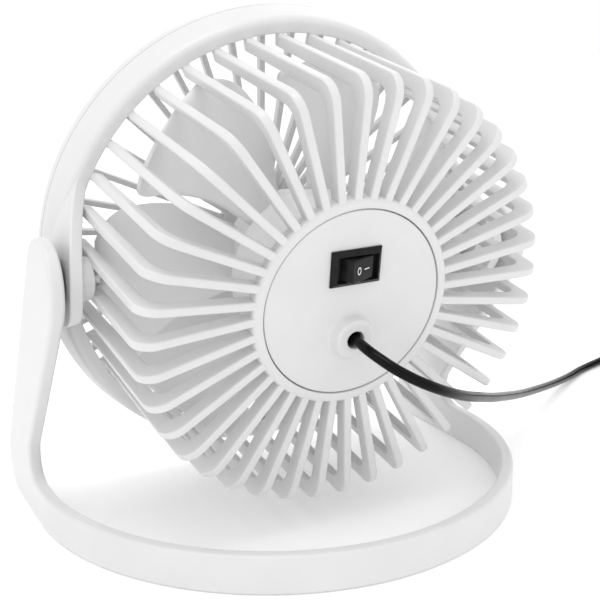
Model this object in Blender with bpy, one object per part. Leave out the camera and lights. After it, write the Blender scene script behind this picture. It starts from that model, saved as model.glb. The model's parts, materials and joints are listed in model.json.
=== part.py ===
"""Small desk fan on a hoop stand: the design, one named object for each real piece.

Metres, +Z up. The origin is the middle of the stand's outline on the table, the fan blows
towards -Y and upwards, and the switch and the cord are on its back, towards +Y.
The head's pieces are modelled level, with the head's axis along their own +Y and the pivot at
their origin, and hang on one empty that stands on the tilt axis and leans them back.
"""

import math

import bmesh
import bpy
from mathutils import Matrix, Vector

MM = 0.001
GAP = 0.3 * MM                      # between pieces that touch
TAU = 2 * math.pi

# ---- driving dimensions ------------------------------------------------------------------
# Head
RING_RADIUS = 70.0 * MM             # outside of the ring
RING_INNER_RADIUS = 63.5 * MM       # rear opening of the ring
RING_DEPTH = 10.0 * MM              # rear shell's part of the ring, front to back
RING_WALL = 2.2 * MM
RING_SHOULDER = 2.4 * MM            # rounding between the ring's side and its rear face
RING_DRAFT = 2.2 * MM               # how much the ring narrows towards the rear
RING_BEHIND_PIVOT = -11.2 * MM      # rear face of the ring, along the head's axis
CAGE_DEPTH = 49.6 * MM              # ring's rear face to the corner of the fins
HUB_DEPTH = 47.1 * MM               # ring's rear face to the face of the hub
FIN_COUNT = 40
FIN_FIRST = math.radians(5.1)       # from the tilt axis to the first fin
FIN_THICKNESS = 2.4 * MM
FIN_DEPTH = 5.2 * MM                # of the leg that runs in to the hub
FIN_SIDE_DEPTH = 4.3 * MM           # of the leg that comes from the ring
FIN_BEND_RADIUS = 62.0 * MM         # how far out the fins turn the corner
FIN_CORNER = 4.5 * MM
HUB_RADIUS = 30.0 * MM
HUB_LIP = 3.0 * MM                  # width of the rim around the cover plate
HUB_WALL = 2.0 * MM
HUB_FLANGE = 3.6 * MM               # depth of the rim's outer wall
CUP_RADIUS = 24.0 * MM              # motor cup
CUP_DEPTH = 29.0 * MM               # hub face to the cup's front
PLATE_THICKNESS = 2.0 * MM

# Front grille
GRILLE_DEPTH = 4.0 * MM
GRILLE_BARS = 40
GRILLE_BAR_THICKNESS = 1.6 * MM
GRILLE_CAP_RADIUS = 15.0 * MM

# Pivot
LUG_REACH = 9.6 * MM                # how far the lug stands behind the pivot
LUG_HALF_HEIGHT = 17.5 * MM         # along the ring, where the lug has run out into it
LUG_PROUD = 0.2 * MM                # lug's face beyond the ring
LUG_WIDTH = 8.0 * MM                # with the boss inside it
LUG_SHELL = 3.6 * MM                # thickness of the lug around its inner boss
LUG_BOSS_RADIUS = 6.0 * MM
PIN_RADIUS = 1.5 * MM
PIN_HEAD_RADIUS = 2.6 * MM
PIN_HEAD_WIDTH = 1.8 * MM
PIN_IN_ARM = 2.2 * MM               # how deep the pin sits in the arm
WASHER_RADIUS = 6.0 * MM
WASHER_WIDTH = 1.5 * MM
HEAD_LEAN = math.radians(10.9)      # rest tilt, rear side down
PIVOT_Y = -4.2 * MM
PIVOT_HEIGHT = 75.5 * MM

# Stand
BAND_WIDTH = 3.9 * MM
BASE_HEIGHT = 11.0 * MM
BASE_HALF_LENGTH = 57.3 * MM
ARM_RADIUS = 13.3 * MM              # rounded top of each arm
ARM_TOP_DROP = 1.3 * MM             # centre of that round below the pivot
ARM_FOOT_WIDTH = 18.0 * MM          # arm's width where it meets the bend
ARM_LEAN = math.radians(34.0)       # from upright, top to the rear
BEND_OUTER = 10.0 * MM
BEND_INNER = 6.8 * MM
EDGE_ROUND = 0.6 * MM

# Switch
SWITCH_WIDTH = 15.2 * MM
SWITCH_HEIGHT = 10.2 * MM
SWITCH_PROUD = 1.8 * MM
SWITCH_FRAME = 1.6 * MM
SWITCH_BODY_DEPTH = 8.5 * MM
SWITCH_ABOVE_CENTRE = 11.0 * MM
SWITCH_ASIDE = 0.9 * MM
ROCKER_HIGH = 4.1 * MM              # raised end above the plate
ROCKER_LOW = 1.5 * MM
TERMINAL_WIDTH = 2.4 * MM
TERMINAL_THICKNESS = 0.8 * MM
TERMINAL_LENGTH = 4.4 * MM
TERMINAL_ASIDE = 3.4 * MM           # each terminal from the switch's middle
SWITCH_MARGIN = 1.0 * MM            # rim beyond the body, at the ends
SWITCH_MARGIN_HIGH = 0.8 * MM       # and above and below
POCKET_FLOOR = 1.5 * MM             # thickness of the switch body's bottom
ROCKER_HINGE = 1.0 * MM             # hinge below the plate's face
ROCKER_CLEAR = 1.0 * MM             # rocker short of the opening, each end

# Cable boss and cord
BOSS_BELOW_CENTRE = 9.4 * MM
BOSS_BASE_RADIUS = 6.8 * MM
BOSS_FACE_RADIUS = 5.0 * MM
BOSS_HEIGHT = 2.8 * MM
CORD_DIAMETER = 3.0 * MM
BUSHING_WALL = 0.5 * MM
LEAD_DIAMETER = 1.1 * MM

# Motor and impeller
MOTOR_RADIUS = 15.0 * MM
MOTOR_LENGTH = 10.0 * MM
MOTOR_WALL = 0.8 * MM
MOTOR_BOSS_RADIUS = 4.0 * MM
SHAFT_RADIUS = 1.0 * MM
BUSH_RADIUS = 2.6 * MM
BUSH_LENGTH = 2.4 * MM
SCREW_RADIUS = 1.2 * MM
SCREW_HEAD_RADIUS = 2.2 * MM
SCREW_CIRCLE = 9.0 * MM
IMPELLER_HUB_RADIUS = 19.0 * MM
IMPELLER_HUB_DEPTH = 17.0 * MM
BLADE_COUNT = 7
BLADE_TIP_RADIUS = 57.0 * MM
BLADE_SPAN = math.radians(41)
BLADE_SWEEP = math.radians(-8)       # how far the tip is turned from the root
BLADE_PITCH = 14.0 * MM             # how far front to back a blade reaches
BLADE_THICKNESS = 1.6 * MM
SPIN_START = math.radians(33)       # where the first blade starts, from the tilt axis

# Cord: route of its centre, from the boss to the coil, then the coil and the plug
CORD_ROUTE = [
    (0.0, 30.3, 59.3), (0.0, 34.2, 58.6), (0.0, 38.2, 57.8), (-1.0, 42.0, 56.5),
    (-3.6, 46.4, 54.2), (-7.4, 49.6, 51.8), (-12.6, 51.0, 49.2), (-20.0, 48.5, 45.8),
    (-30.0, 42.2, 41.4), (-42.0, 33.0, 36.4), (-55.0, 22.5, 31.0), (-68.0, 11.8, 26.0),
    (-82.0, 0.4, 20.8), (-96.0, -10.8, 16.0), (-111.0, -22.0, 11.6), (-126.0, -32.6, 7.7),
    (-140.0, -42.0, 4.6), (-153.5, -50.4, 2.4), (-166.0, -57.2, 1.6), (-177.0, -61.2, 1.6),
    (-186.5, -64.4, 1.6), (-194.2, -66.3, 1.8),
]
COIL_CENTRE = (-212.0 * MM, -49.0 * MM)
COIL_RADIUS = 18.0 * MM
COIL_WIDTH = 9.4 * MM
COIL_FLOOR = 1.1 * MM
TIE_THICKNESS = 0.8 * MM
TIE_WIDTH = 4.0 * MM
TIE_ANGLE = math.radians(20)
PLUG_START = (-234.8 * MM, -27.0 * MM)
PLUG_DIRECTION = math.radians(46)
PLUG_HEIGHT = 8.0 * MM
PLUG_WIDTH = 15.6 * MM
PLUG_LENGTH = 24.0 * MM
PLUG_TAPER = 8.0 * MM
SHELL_WIDTH = 12.0 * MM
SHELL_HEIGHT = 4.5 * MM
SHELL_LENGTH = 18.5 * MM
SHELL_WALL = 0.35 * MM

# ---- worked out from them ------------------------------------------------------------------
RING_REAR = RING_BEHIND_PIVOT
RING_FRONT = RING_REAR - RING_DEPTH
CAGE_REAR = RING_REAR + CAGE_DEPTH
HUB_FACE = RING_REAR + HUB_DEPTH
PLATE_RADIUS = HUB_RADIUS - HUB_LIP - GAP
PLATE_REAR = HUB_FACE - GAP
PLATE_FRONT = PLATE_REAR - PLATE_THICKNESS
CUP_FRONT = HUB_FACE - CUP_DEPTH
CUP_INSIDE = CUP_FRONT + HUB_WALL
LUG_FACE = RING_RADIUS + LUG_PROUD
ARM_INSIDE = LUG_FACE + WASHER_WIDTH + 2 * GAP
ARM_OUTSIDE = ARM_INSIDE + BAND_WIDTH
BASE_ARC_Y = BASE_HALF_LENGTH - ARM_OUTSIDE
HOLE_RADIUS = CORD_DIAMETER / 2 + BUSHING_WALL + 2 * GAP
MOTOR_FRONT = CUP_INSIDE + GAP
MOTOR_REAR = MOTOR_FRONT + MOTOR_LENGTH
IMPELLER_REAR = CUP_FRONT - 1.2 * MM
IMPELLER_FRONT = IMPELLER_REAR - IMPELLER_HUB_DEPTH
SWITCH_BACK = PLATE_REAR - SWITCH_BODY_DEPTH


# ---- helpers -------------------------------------------------------------------------------
def clear_scene():
    for old in list(bpy.data.objects):
        bpy.data.objects.remove(old, do_unlink=True)


def material(name, colour, roughness, metallic=0.0):
    made = bpy.data.materials.new(name)
    made.use_nodes = True
    shader = made.node_tree.nodes["Principled BSDF"]
    shader.inputs["Base Color"].default_value = (*colour, 1)
    shader.inputs["Roughness"].default_value = roughness
    shader.inputs["Metallic"].default_value = metallic
    return made


def place(name, mesh_source, finish, parent=None, location=(0, 0, 0), turn=(0, 0, 0)):
    """Make an object of a bmesh, put it in the scene and give it its finish."""
    mesh = bpy.data.meshes.new(name)
    bmesh.ops.recalc_face_normals(mesh_source, faces=mesh_source.faces)
    mesh_source.to_mesh(mesh)
    mesh_source.free()
    mesh.shade_smooth()
    mesh.set_sharp_from_angle(angle=math.radians(30))
    mesh.materials.append(finish)
    piece = bpy.data.objects.new(name, mesh)
    bpy.context.scene.collection.objects.link(piece)
    piece.location = location
    piece.rotation_euler = turn
    piece.parent = parent
    return piece


def tool(name, mesh_source, finish, parent=None, location=(0, 0, 0), turn=(0, 0, 0)):
    """Make a shape that another piece is joined with or cut by."""
    piece = place(name, mesh_source, finish, parent, location, turn)
    piece.hide_render = True
    piece.display_type = "WIRE"
    return piece


def combine(piece, other, operation):
    step = piece.modifiers.new(operation.lower() + "_" + other.name, "BOOLEAN")
    step.operation = operation
    step.solver = "EXACT"
    step.object = other


def turned(profile, segments):
    """Turn a closed outline of (radius, place along the head's axis) around that axis."""
    made = bmesh.new()
    corners = [made.verts.new((radius, along, 0)) for radius, along in profile]
    edges = [made.edges.new((a, b)) for a, b in zip(corners, corners[1:] + corners[:1])]
    bmesh.ops.spin(made, geom=corners + edges, cent=(0, 0, 0), axis=(0, 1, 0),
                   angle=TAU, steps=segments, use_merge=True)
    bmesh.ops.remove_doubles(made, verts=made.verts, dist=1e-6)
    bmesh.ops.dissolve_degenerate(made, edges=made.edges, dist=1e-7)
    return made


def plate(outline, low, high, axis="X"):
    """Extrude a closed outline from low to high along an axis: outline is (y, z) or (x, y)."""
    made = bmesh.new()
    if axis == "X":
        corners = [made.verts.new((low, a, b)) for a, b in outline]
        shift = (high - low, 0, 0)
    else:
        corners = [made.verts.new((a, b, low)) for a, b in outline]
        shift = (0, 0, high - low)
    face = made.faces.new(corners)
    grown = bmesh.ops.extrude_face_region(made, geom=[face])
    moved = [item for item in grown["geom"] if isinstance(item, bmesh.types.BMVert)]
    bmesh.ops.translate(made, verts=moved, vec=shift)
    return made


def block(low, high):
    made = bmesh.new()
    size = Vector(high) - Vector(low)
    middle = (Vector(high) + Vector(low)) / 2
    bmesh.ops.create_cube(made, size=1,
                          matrix=Matrix.Translation(middle) @ Matrix.Diagonal((*size, 1)))
    return made


def rod(radius, start, end, segments=16, across="Y", at=(0, 0)):
    """A plain cylinder along X or Y, from start to end, with its axis through at."""
    made = bmesh.new()
    turn = Matrix.Rotation(math.pi / 2, 4, "X" if across == "Y" else "Y")
    middle = (start + end) / 2
    centre = (at[0], middle, at[1]) if across == "Y" else (middle, at[0], at[1])
    bmesh.ops.create_cone(made, cap_ends=True, segments=segments, radius1=radius, radius2=radius,
                          depth=end - start, matrix=Matrix.Translation(centre) @ turn)
    return made


def join(target, source):
    """Add the shape in source to target, and free source."""
    spare = bpy.data.meshes.new("spare")
    source.to_mesh(spare)
    source.free()
    target.from_mesh(spare)
    bpy.data.meshes.remove(spare)


def rounded(start, corner, end, radius, steps):
    """Points of the arc that rounds a corner between two straight edges."""
    start, corner, end = Vector(start), Vector(corner), Vector(end)
    back, on = (start - corner).normalized(), (end - corner).normalized()
    half = back.angle(on) / 2
    centre = corner + (back + on).normalized() * radius / math.sin(half)
    first = corner + back * radius / math.tan(half)
    turn = math.pi - 2 * half
    side = 1 if back.cross(on) < 0 else -1
    arm = first - centre
    return [tuple(centre + Matrix.Rotation(side * turn * i / steps, 2) @ arm)
            for i in range(steps + 1)]


# ---- stand ---------------------------------------------------------------------------------
def arm_outline():
    """Side view of one arm, its bend and the straight start of the base, as (y, z)."""
    up = Vector((math.sin(ARM_LEAN), math.cos(ARM_LEAN)))
    top = Vector((PIVOT_Y, PIVOT_HEIGHT - ARM_TOP_DROP))
    foot = Vector((-BASE_HALF_LENGTH + BEND_OUTER, BEND_OUTER))
    # The front edge touches the bend's circle and the circle at the top.
    reach = (top - foot).length
    front_turn = math.asin((ARM_RADIUS - BEND_OUTER) / reach)
    along = (top - foot).normalized()
    front_normal = Matrix.Rotation(math.pi / 2 - front_turn, 2) @ along
    base_end = (BASE_ARC_Y, 0.0)
    points = [base_end]
    start = math.atan2(-1, 0)
    stop = math.atan2(front_normal.y, front_normal.x) - TAU
    steps = 9
    for i in range(steps + 1):
        angle = start + (stop - start) * i / steps
        points.append(tuple(foot + BEND_OUTER * Vector((math.cos(angle), math.sin(angle)))))
    rear_normal = Vector((up.y, -up.x))
    start = math.atan2(front_normal.y, front_normal.x)
    stop = math.atan2(rear_normal.y, rear_normal.x)
    steps = 16
    for i in range(steps + 1):
        angle = start + (stop - start) * i / steps
        points.append(tuple(top + ARM_RADIUS * Vector((math.cos(angle), math.sin(angle)))))
    # The rear edge runs to the bend, where the arm is ARM_FOOT_WIDTH wide.
    rear_top = top + rear_normal * ARM_RADIUS
    rear_foot = foot + front_normal * BEND_OUTER - front_normal * ARM_FOOT_WIDTH
    slope = (rear_foot - rear_top).normalized()
    corner = rear_top + slope * ((BASE_HEIGHT - rear_top.y) / slope.y)
    points += rounded(rear_top, corner, (BASE_ARC_Y, BASE_HEIGHT), BEND_INNER, 8)
    points.append((BASE_ARC_Y, BASE_HEIGHT))
    return points


def make_stand(finish):
    """One moulded hoop: two arms, their bends and the base, a band of one thickness."""
    outline = arm_outline()
    made = bmesh.new()
    for side in (1, -1):
        join(made, plate(outline, side * ARM_INSIDE, side * ARM_OUTSIDE))
    ends = [f for f in made.faces if all(abs(v.co.y - BASE_ARC_Y) < 1e-6 for v in f.verts)]
    bmesh.ops.delete(made, geom=ends, context="FACES_ONLY")
    steps = 48
    rows = []
    for i in range(steps + 1):
        angle = math.pi * i / steps
        row = []
        for radius, height in ((ARM_OUTSIDE, 0), (ARM_OUTSIDE, BASE_HEIGHT),
                               (ARM_INSIDE, BASE_HEIGHT), (ARM_INSIDE, 0)):
            row.append(made.verts.new((radius * math.cos(angle),
                                       BASE_ARC_Y + radius * math.sin(angle), height)))
        rows.append(row)
    for a, b in zip(rows, rows[1:]):
        for i in range(4):
            made.faces.new((a[i], a[(i + 1) % 4], b[(i + 1) % 4], b[i]))
    bmesh.ops.remove_doubles(made, verts=made.verts, dist=1e-6)
    stand = place("stand_hoop", made, finish)
    for side in (1, -1):
        bore = rod(PIN_RADIUS + GAP, side * (ARM_INSIDE - GAP),
                   side * (ARM_INSIDE + PIN_IN_ARM + GAP),
                   across="X", at=(PIVOT_Y, PIVOT_HEIGHT))
        bmesh.ops.recalc_face_normals(bore, faces=bore.faces)
        combine(stand, tool(f"cut_arm_bore_{side + 2}", bore, finish), "DIFFERENCE")
    edges = stand.modifiers.new("edges", "BEVEL")
    edges.width = EDGE_ROUND
    edges.segments = 1
    edges.limit_method = "ANGLE"
    edges.angle_limit = math.radians(60)
    return stand


# ---- head ----------------------------------------------------------------------------------
def fin_outline():
    """A rear fin, as (radius, place along the axis): a bar bent once, from the ring to the hub."""
    root = RING_INNER_RADIUS + 1.2 * MM
    leaf = RING_REAR - RING_WALL + 0.3 * MM
    outer = [(root, RING_REAR - 0.8 * MM), (RING_INNER_RADIUS - 0.2 * MM, RING_REAR)]
    bend = (FIN_BEND_RADIUS, CAGE_REAR)
    hub_outer = (HUB_RADIUS - 1.4 * MM, HUB_FACE - 0.5 * MM)
    outer += rounded(outer[-1], bend, hub_outer, FIN_CORNER, 4)
    outer.append(hub_outer)
    hub_inner = (HUB_RADIUS - 1.4 * MM, HUB_FACE - FIN_DEPTH)
    inner_bend = (FIN_BEND_RADIUS - FIN_SIDE_DEPTH, CAGE_REAR - FIN_DEPTH)
    ring_inner = (RING_INNER_RADIUS - FIN_SIDE_DEPTH + 0.6 * MM, leaf)
    inner = [hub_inner] + rounded(hub_inner, inner_bend, ring_inner, FIN_CORNER / 2, 2)
    inner += [ring_inner, (root, leaf)]
    return outer + inner


def fin_set(outline, count, thickness, first_angle):
    """Copies of a flat bar around the head's axis, outline as (radius, along)."""
    made = bmesh.new()
    for i in range(count):
        one = plate(outline, -thickness / 2, thickness / 2, axis="Z")
        turn = Matrix.Rotation(-(first_angle + TAU * i / count), 4, "Y")
        bmesh.ops.transform(one, matrix=turn, verts=one.verts)
        join(made, one)
    return made


def lug_rise(share):
    """How much of its full reach the lug has, from its middle (0) to where it ends (1)."""
    return (1 - share ** 2.6) ** 1.5


def lug_shape(side):
    """The lug that the pivot pin goes through: the ring's wall, grown to the rear."""
    made = bmesh.new()
    front = RING_REAR - RING_WALL
    steps = 20
    rows = []
    for i in range(steps + 1):
        share = 2 * i / steps - 1
        angle = share * LUG_HALF_HEIGHT / RING_RADIUS
        rear = RING_REAR - GAP + (LUG_REACH - RING_REAR) * lug_rise(abs(share))
        row = []
        for radius, along in ((LUG_FACE - LUG_SHELL, front), (LUG_FACE, front),
                              (LUG_FACE, rear), (LUG_FACE - LUG_SHELL, rear)):
            row.append(made.verts.new((side * radius * math.cos(angle), along,
                                       radius * math.sin(angle))))
        rows.append(row)
    for a, b in zip(rows, rows[1:]):
        for i in range(4):
            made.faces.new((a[i], a[(i + 1) % 4], b[(i + 1) % 4], b[i]))
    made.faces.new(rows[0])
    made.faces.new(rows[-1])
    return made


def make_rear_housing(head, finish):
    corner = (RING_RADIUS - RING_DRAFT, RING_REAR)
    ring = [(RING_INNER_RADIUS, RING_REAR)]
    ring += rounded(ring[0], corner, (RING_RADIUS, RING_FRONT), RING_SHOULDER, 3)
    ring += [
        (RING_RADIUS, RING_FRONT),
        (RING_RADIUS - RING_WALL, RING_FRONT),
        (RING_RADIUS - RING_DRAFT - RING_WALL, RING_REAR - RING_WALL),
        (RING_INNER_RADIUS, RING_REAR - RING_WALL),
    ]
    housing = place("rear_housing", turned(ring, 80), finish, head)

    seat = PLATE_FRONT - GAP
    floor_hole = MOTOR_BOSS_RADIUS + 2 * GAP
    hub = [
        (HUB_RADIUS - HUB_LIP, HUB_FACE), (HUB_RADIUS - 1.2 * MM, HUB_FACE),
        (HUB_RADIUS - 0.3 * MM, HUB_FACE - 0.4 * MM), (HUB_RADIUS, HUB_FACE - 1.3 * MM),
        (HUB_RADIUS, HUB_FACE - HUB_FLANGE), (HUB_RADIUS - HUB_LIP, HUB_FACE - HUB_FLANGE),
        (CUP_RADIUS, HUB_FACE - HUB_FLANGE - HUB_WALL),
        (CUP_RADIUS, CUP_FRONT + 1.5 * MM), (CUP_RADIUS - 1.5 * MM, CUP_FRONT),
        (floor_hole, CUP_FRONT), (floor_hole, CUP_INSIDE), (CUP_RADIUS - HUB_WALL, CUP_INSIDE),
        (CUP_RADIUS - HUB_WALL, seat), (HUB_RADIUS - HUB_LIP, seat),
    ]
    hub_tool = tool("join_hub", turned(hub, 40), finish, head)
    fins = fin_set(fin_outline(), FIN_COUNT, FIN_THICKNESS, FIN_FIRST)
    fins_tool = tool("join_fins", fins, finish, head)
    combine(housing, fins_tool, "UNION")
    combine(housing, hub_tool, "UNION")
    for side in (1, -1):
        combine(housing, tool(f"join_lug_{side + 2}", lug_shape(side), finish, head), "UNION")
        low, high = sorted((side * (LUG_FACE - LUG_WIDTH), side * (LUG_FACE - LUG_SHELL / 2)))
        boss = rod(LUG_BOSS_RADIUS, low, high, 20, across="X")
        combine(housing, tool(f"join_lug_boss_{side + 2}", boss, finish, head), "UNION")
    for side in (1, -1):
        low, high = sorted((side * (LUG_FACE - LUG_WIDTH - 3 * MM), side * (LUG_FACE + 3 * MM)))
        bore = rod(PIN_RADIUS + GAP, low, high, across="X")
        combine(housing, tool(f"cut_lug_bore_{side + 2}", bore, finish, head), "DIFFERENCE")
    for side in (1, -1):
        hole = rod(SCREW_RADIUS + GAP, CUP_FRONT - 2 * MM, CUP_INSIDE + 2 * MM, 10,
                   at=(side * SCREW_CIRCLE, 0))
        combine(housing, tool(f"cut_screw_hole_{side + 2}", hole, finish, head), "DIFFERENCE")
    return housing


def make_front_grille(head, finish):
    rear = RING_FRONT - GAP
    front = rear - GRILLE_DEPTH
    rim = [
        (RING_RADIUS, rear), (RING_RADIUS, front + 1.5 * MM), (RING_RADIUS - 1.5 * MM, front),
        (RING_RADIUS - 4 * MM, front), (RING_RADIUS - 4 * MM, rear),
    ]
    grille = place("front_grille", turned(rim, 80), finish, head)
    bar = [
        (GRILLE_CAP_RADIUS - 1 * MM, front + 0.5 * MM), (RING_RADIUS - 3.5 * MM, front + 0.5 * MM),
        (RING_RADIUS - 3.5 * MM, rear - 0.4 * MM), (GRILLE_CAP_RADIUS - 1 * MM, rear - 0.4 * MM),
    ]
    bars = fin_set(bar, GRILLE_BARS, GRILLE_BAR_THICKNESS, TAU / GRILLE_BARS / 2)
    combine(grille, tool("join_bars", bars, finish, head), "UNION")
    cap = [(0, front), (GRILLE_CAP_RADIUS, front), (GRILLE_CAP_RADIUS, rear), (0, rear)]
    combine(grille, tool("join_cap", turned(cap, 40), finish, head), "UNION")
    return grille


def make_rear_cover(head, finish):
    disc = [(0, PLATE_FRONT), (PLATE_RADIUS, PLATE_FRONT), (PLATE_RADIUS, PLATE_REAR - 0.3 * MM),
            (PLATE_RADIUS - 0.3 * MM, PLATE_REAR), (0, PLATE_REAR)]
    cover = place("rear_cover", turned(disc, 56), finish, head)
    sunk, soft = PLATE_REAR - 0.5 * MM, 0.5 * MM
    face = PLATE_REAR + BOSS_HEIGHT
    boss = [(0, sunk), (BOSS_BASE_RADIUS, sunk), (BOSS_BASE_RADIUS, PLATE_REAR + 0.3 * MM),
            (BOSS_FACE_RADIUS + soft, face - soft), (BOSS_FACE_RADIUS, face), (0, face)]
    boss_tool = tool("join_boss", turned(boss, 28), finish, head, (0, 0, -BOSS_BELOW_CENTRE))
    combine(cover, boss_tool, "UNION")
    hole = rod(HOLE_RADIUS, PLATE_FRONT - 3 * MM, face + 3 * MM, 20, at=(0, -BOSS_BELOW_CENTRE))
    combine(cover, tool("cut_cord_hole", hole, finish, head), "DIFFERENCE")
    half_width = SWITCH_WIDTH / 2 - SWITCH_MARGIN
    half_height = SWITCH_HEIGHT / 2 - SWITCH_MARGIN_HIGH
    window = block((-half_width, PLATE_FRONT - 3 * MM, -half_height),
                   (half_width, PLATE_REAR + 3 * MM, half_height))
    at = (SWITCH_ASIDE, 0, SWITCH_ABOVE_CENTRE)
    combine(cover, tool("cut_switch_window", window, finish, head, at), "DIFFERENCE")
    return cover


def make_cord_bushing(head, finish):
    outer = HOLE_RADIUS - GAP
    inner = CORD_DIAMETER / 2 + GAP
    rear = PLATE_REAR + BOSS_HEIGHT - 1.0 * MM
    collar = PLATE_FRONT - GAP
    wide = outer + 1.2 * MM
    sleeve = [(inner, collar - 2 * MM), (wide, collar - 2 * MM), (wide, collar),
              (outer, collar), (outer, rear), (inner, rear)]
    return place("cord_bushing", turned(sleeve, 20), finish, head, (0, 0, -BOSS_BELOW_CENTRE))


def make_switch(head, finish, rocker_finish, metal):
    half_width, half_height = SWITCH_WIDTH / 2, SWITCH_HEIGHT / 2
    rim_front = PLATE_REAR + GAP
    rim = block((-half_width, rim_front, -half_height),
                (half_width, PLATE_REAR + SWITCH_PROUD, half_height))
    upper = [e for e in rim.edges if all(v.co.y > rim_front + GAP for v in e.verts)]
    bmesh.ops.bevel(rim, geom=upper, offset=0.7 * MM, segments=1, profile=0.5,
                    affect="EDGES", material=-1)
    at = (SWITCH_ASIDE, 0, SWITCH_ABOVE_CENTRE)
    body = place("switch_body", rim, finish, head, at)
    body_half_width = half_width - SWITCH_MARGIN - GAP
    body_half_height = half_height - SWITCH_MARGIN_HIGH - GAP
    case = block((-body_half_width, SWITCH_BACK, -body_half_height),
                 (body_half_width, PLATE_REAR + 1.0 * MM, body_half_height))
    combine(body, tool("join_switch_case", case, finish, head, at), "UNION")
    open_width, open_height = half_width - SWITCH_FRAME, half_height - SWITCH_FRAME
    pocket_floor = SWITCH_BACK + POCKET_FLOOR
    pocket = block((-open_width, pocket_floor, -open_height),
                   (open_width, PLATE_REAR + SWITCH_PROUD + 3 * MM, open_height))
    combine(body, tool("cut_rocker_pocket", pocket, finish, head, at), "DIFFERENCE")

    hinge = PLATE_REAR - ROCKER_HINGE
    rocker_at = (SWITCH_ASIDE, hinge, SWITCH_ABOVE_CENTRE)
    lift = ROCKER_HINGE
    reach = open_width - ROCKER_CLEAR
    outline = [
        (reach, lift - 0.6 * MM), (reach - 1.9 * MM, lift + ROCKER_HIGH),
        (-reach + 0.4 * MM, lift + ROCKER_LOW), (-reach, lift + ROCKER_LOW - 0.9 * MM),
        (-reach + 0.6 * MM, -1.4 * MM), (0, -3.2 * MM), (reach - 0.6 * MM, -2.2 * MM),
    ]
    rocker = place("switch_rocker", plate(outline, -open_height + GAP, open_height - GAP, "Z"),
                   rocker_finish, head, rocker_at)
    for number, side in enumerate((1, -1), 1):
        middle = side * TERMINAL_ASIDE
        low = (middle - TERMINAL_THICKNESS / 2, SWITCH_BACK - GAP - TERMINAL_LENGTH, -TERMINAL_WIDTH / 2)
        high = (middle + TERMINAL_THICKNESS / 2, SWITCH_BACK - GAP, TERMINAL_WIDTH / 2)
        place(f"switch_terminal_{number}", block(low, high), metal, head, at)
    return rocker


def make_motor(head, steel, bronze, plastic):
    rear_wall = MOTOR_REAR - MOTOR_WALL
    front_boss = MOTOR_FRONT - HUB_WALL
    bush_hole = BUSH_RADIUS + GAP
    can = [
        (bush_hole, front_boss), (MOTOR_BOSS_RADIUS, front_boss),
        (MOTOR_BOSS_RADIUS, MOTOR_FRONT),
        (MOTOR_RADIUS - 0.8 * MM, MOTOR_FRONT), (MOTOR_RADIUS, MOTOR_FRONT + 0.8 * MM),
        (MOTOR_RADIUS, rear_wall - GAP), (MOTOR_RADIUS - MOTOR_WALL, rear_wall - GAP),
        (MOTOR_RADIUS - MOTOR_WALL, MOTOR_FRONT + 1.2 * MM), (bush_hole, MOTOR_FRONT + 1.2 * MM),
    ]
    can_piece = place("motor_can", turned(can, 36), steel, head)
    for side in (1, -1):
        hole = rod(SCREW_RADIUS + GAP, MOTOR_FRONT - 1 * MM, MOTOR_FRONT + 2.5 * MM, 10,
                   at=(side * SCREW_CIRCLE, 0))
        combine(can_piece, tool(f"cut_can_hole_{side + 2}", hole, steel, head), "DIFFERENCE")
    cap_floor = MOTOR_REAR - 1.6 * MM
    cap = [
        (bush_hole, cap_floor), (MOTOR_RADIUS - MOTOR_WALL - GAP, cap_floor),
        (MOTOR_RADIUS - MOTOR_WALL - GAP, rear_wall), (MOTOR_RADIUS, rear_wall),
        (MOTOR_RADIUS, MOTOR_REAR),
        (MOTOR_BOSS_RADIUS, MOTOR_REAR), (MOTOR_BOSS_RADIUS, MOTOR_REAR + 1.2 * MM),
        (bush_hole, MOTOR_REAR + 1.2 * MM),
    ]
    place("motor_end_cap", turned(cap, 36), plastic, head)
    bushes = (("motor_bush_front", front_boss + GAP), ("motor_bush_rear", cap_floor + GAP))
    for name, start in bushes:
        ring = [(SHAFT_RADIUS + GAP, start), (BUSH_RADIUS, start), (BUSH_RADIUS, start + BUSH_LENGTH),
                (SHAFT_RADIUS + GAP, start + BUSH_LENGTH)]
        place(name, turned(ring, 16), bronze, head)
    for number, side in enumerate((1, -1), 1):
        head_face = CUP_FRONT - GAP
        at = (side * SCREW_CIRCLE, 0)
        screw = rod(SCREW_RADIUS, head_face - 0.5 * MM, MOTOR_FRONT + 2.6 * MM, 10, at=at)
        piece = place(f"motor_screw_{number}", screw, steel, head)
        cap_head = rod(SCREW_HEAD_RADIUS, head_face - 0.9 * MM, head_face, 14, at=at)
        combine(piece, tool(f"join_screw_head_{number}", cap_head, steel, head), "UNION")


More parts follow.
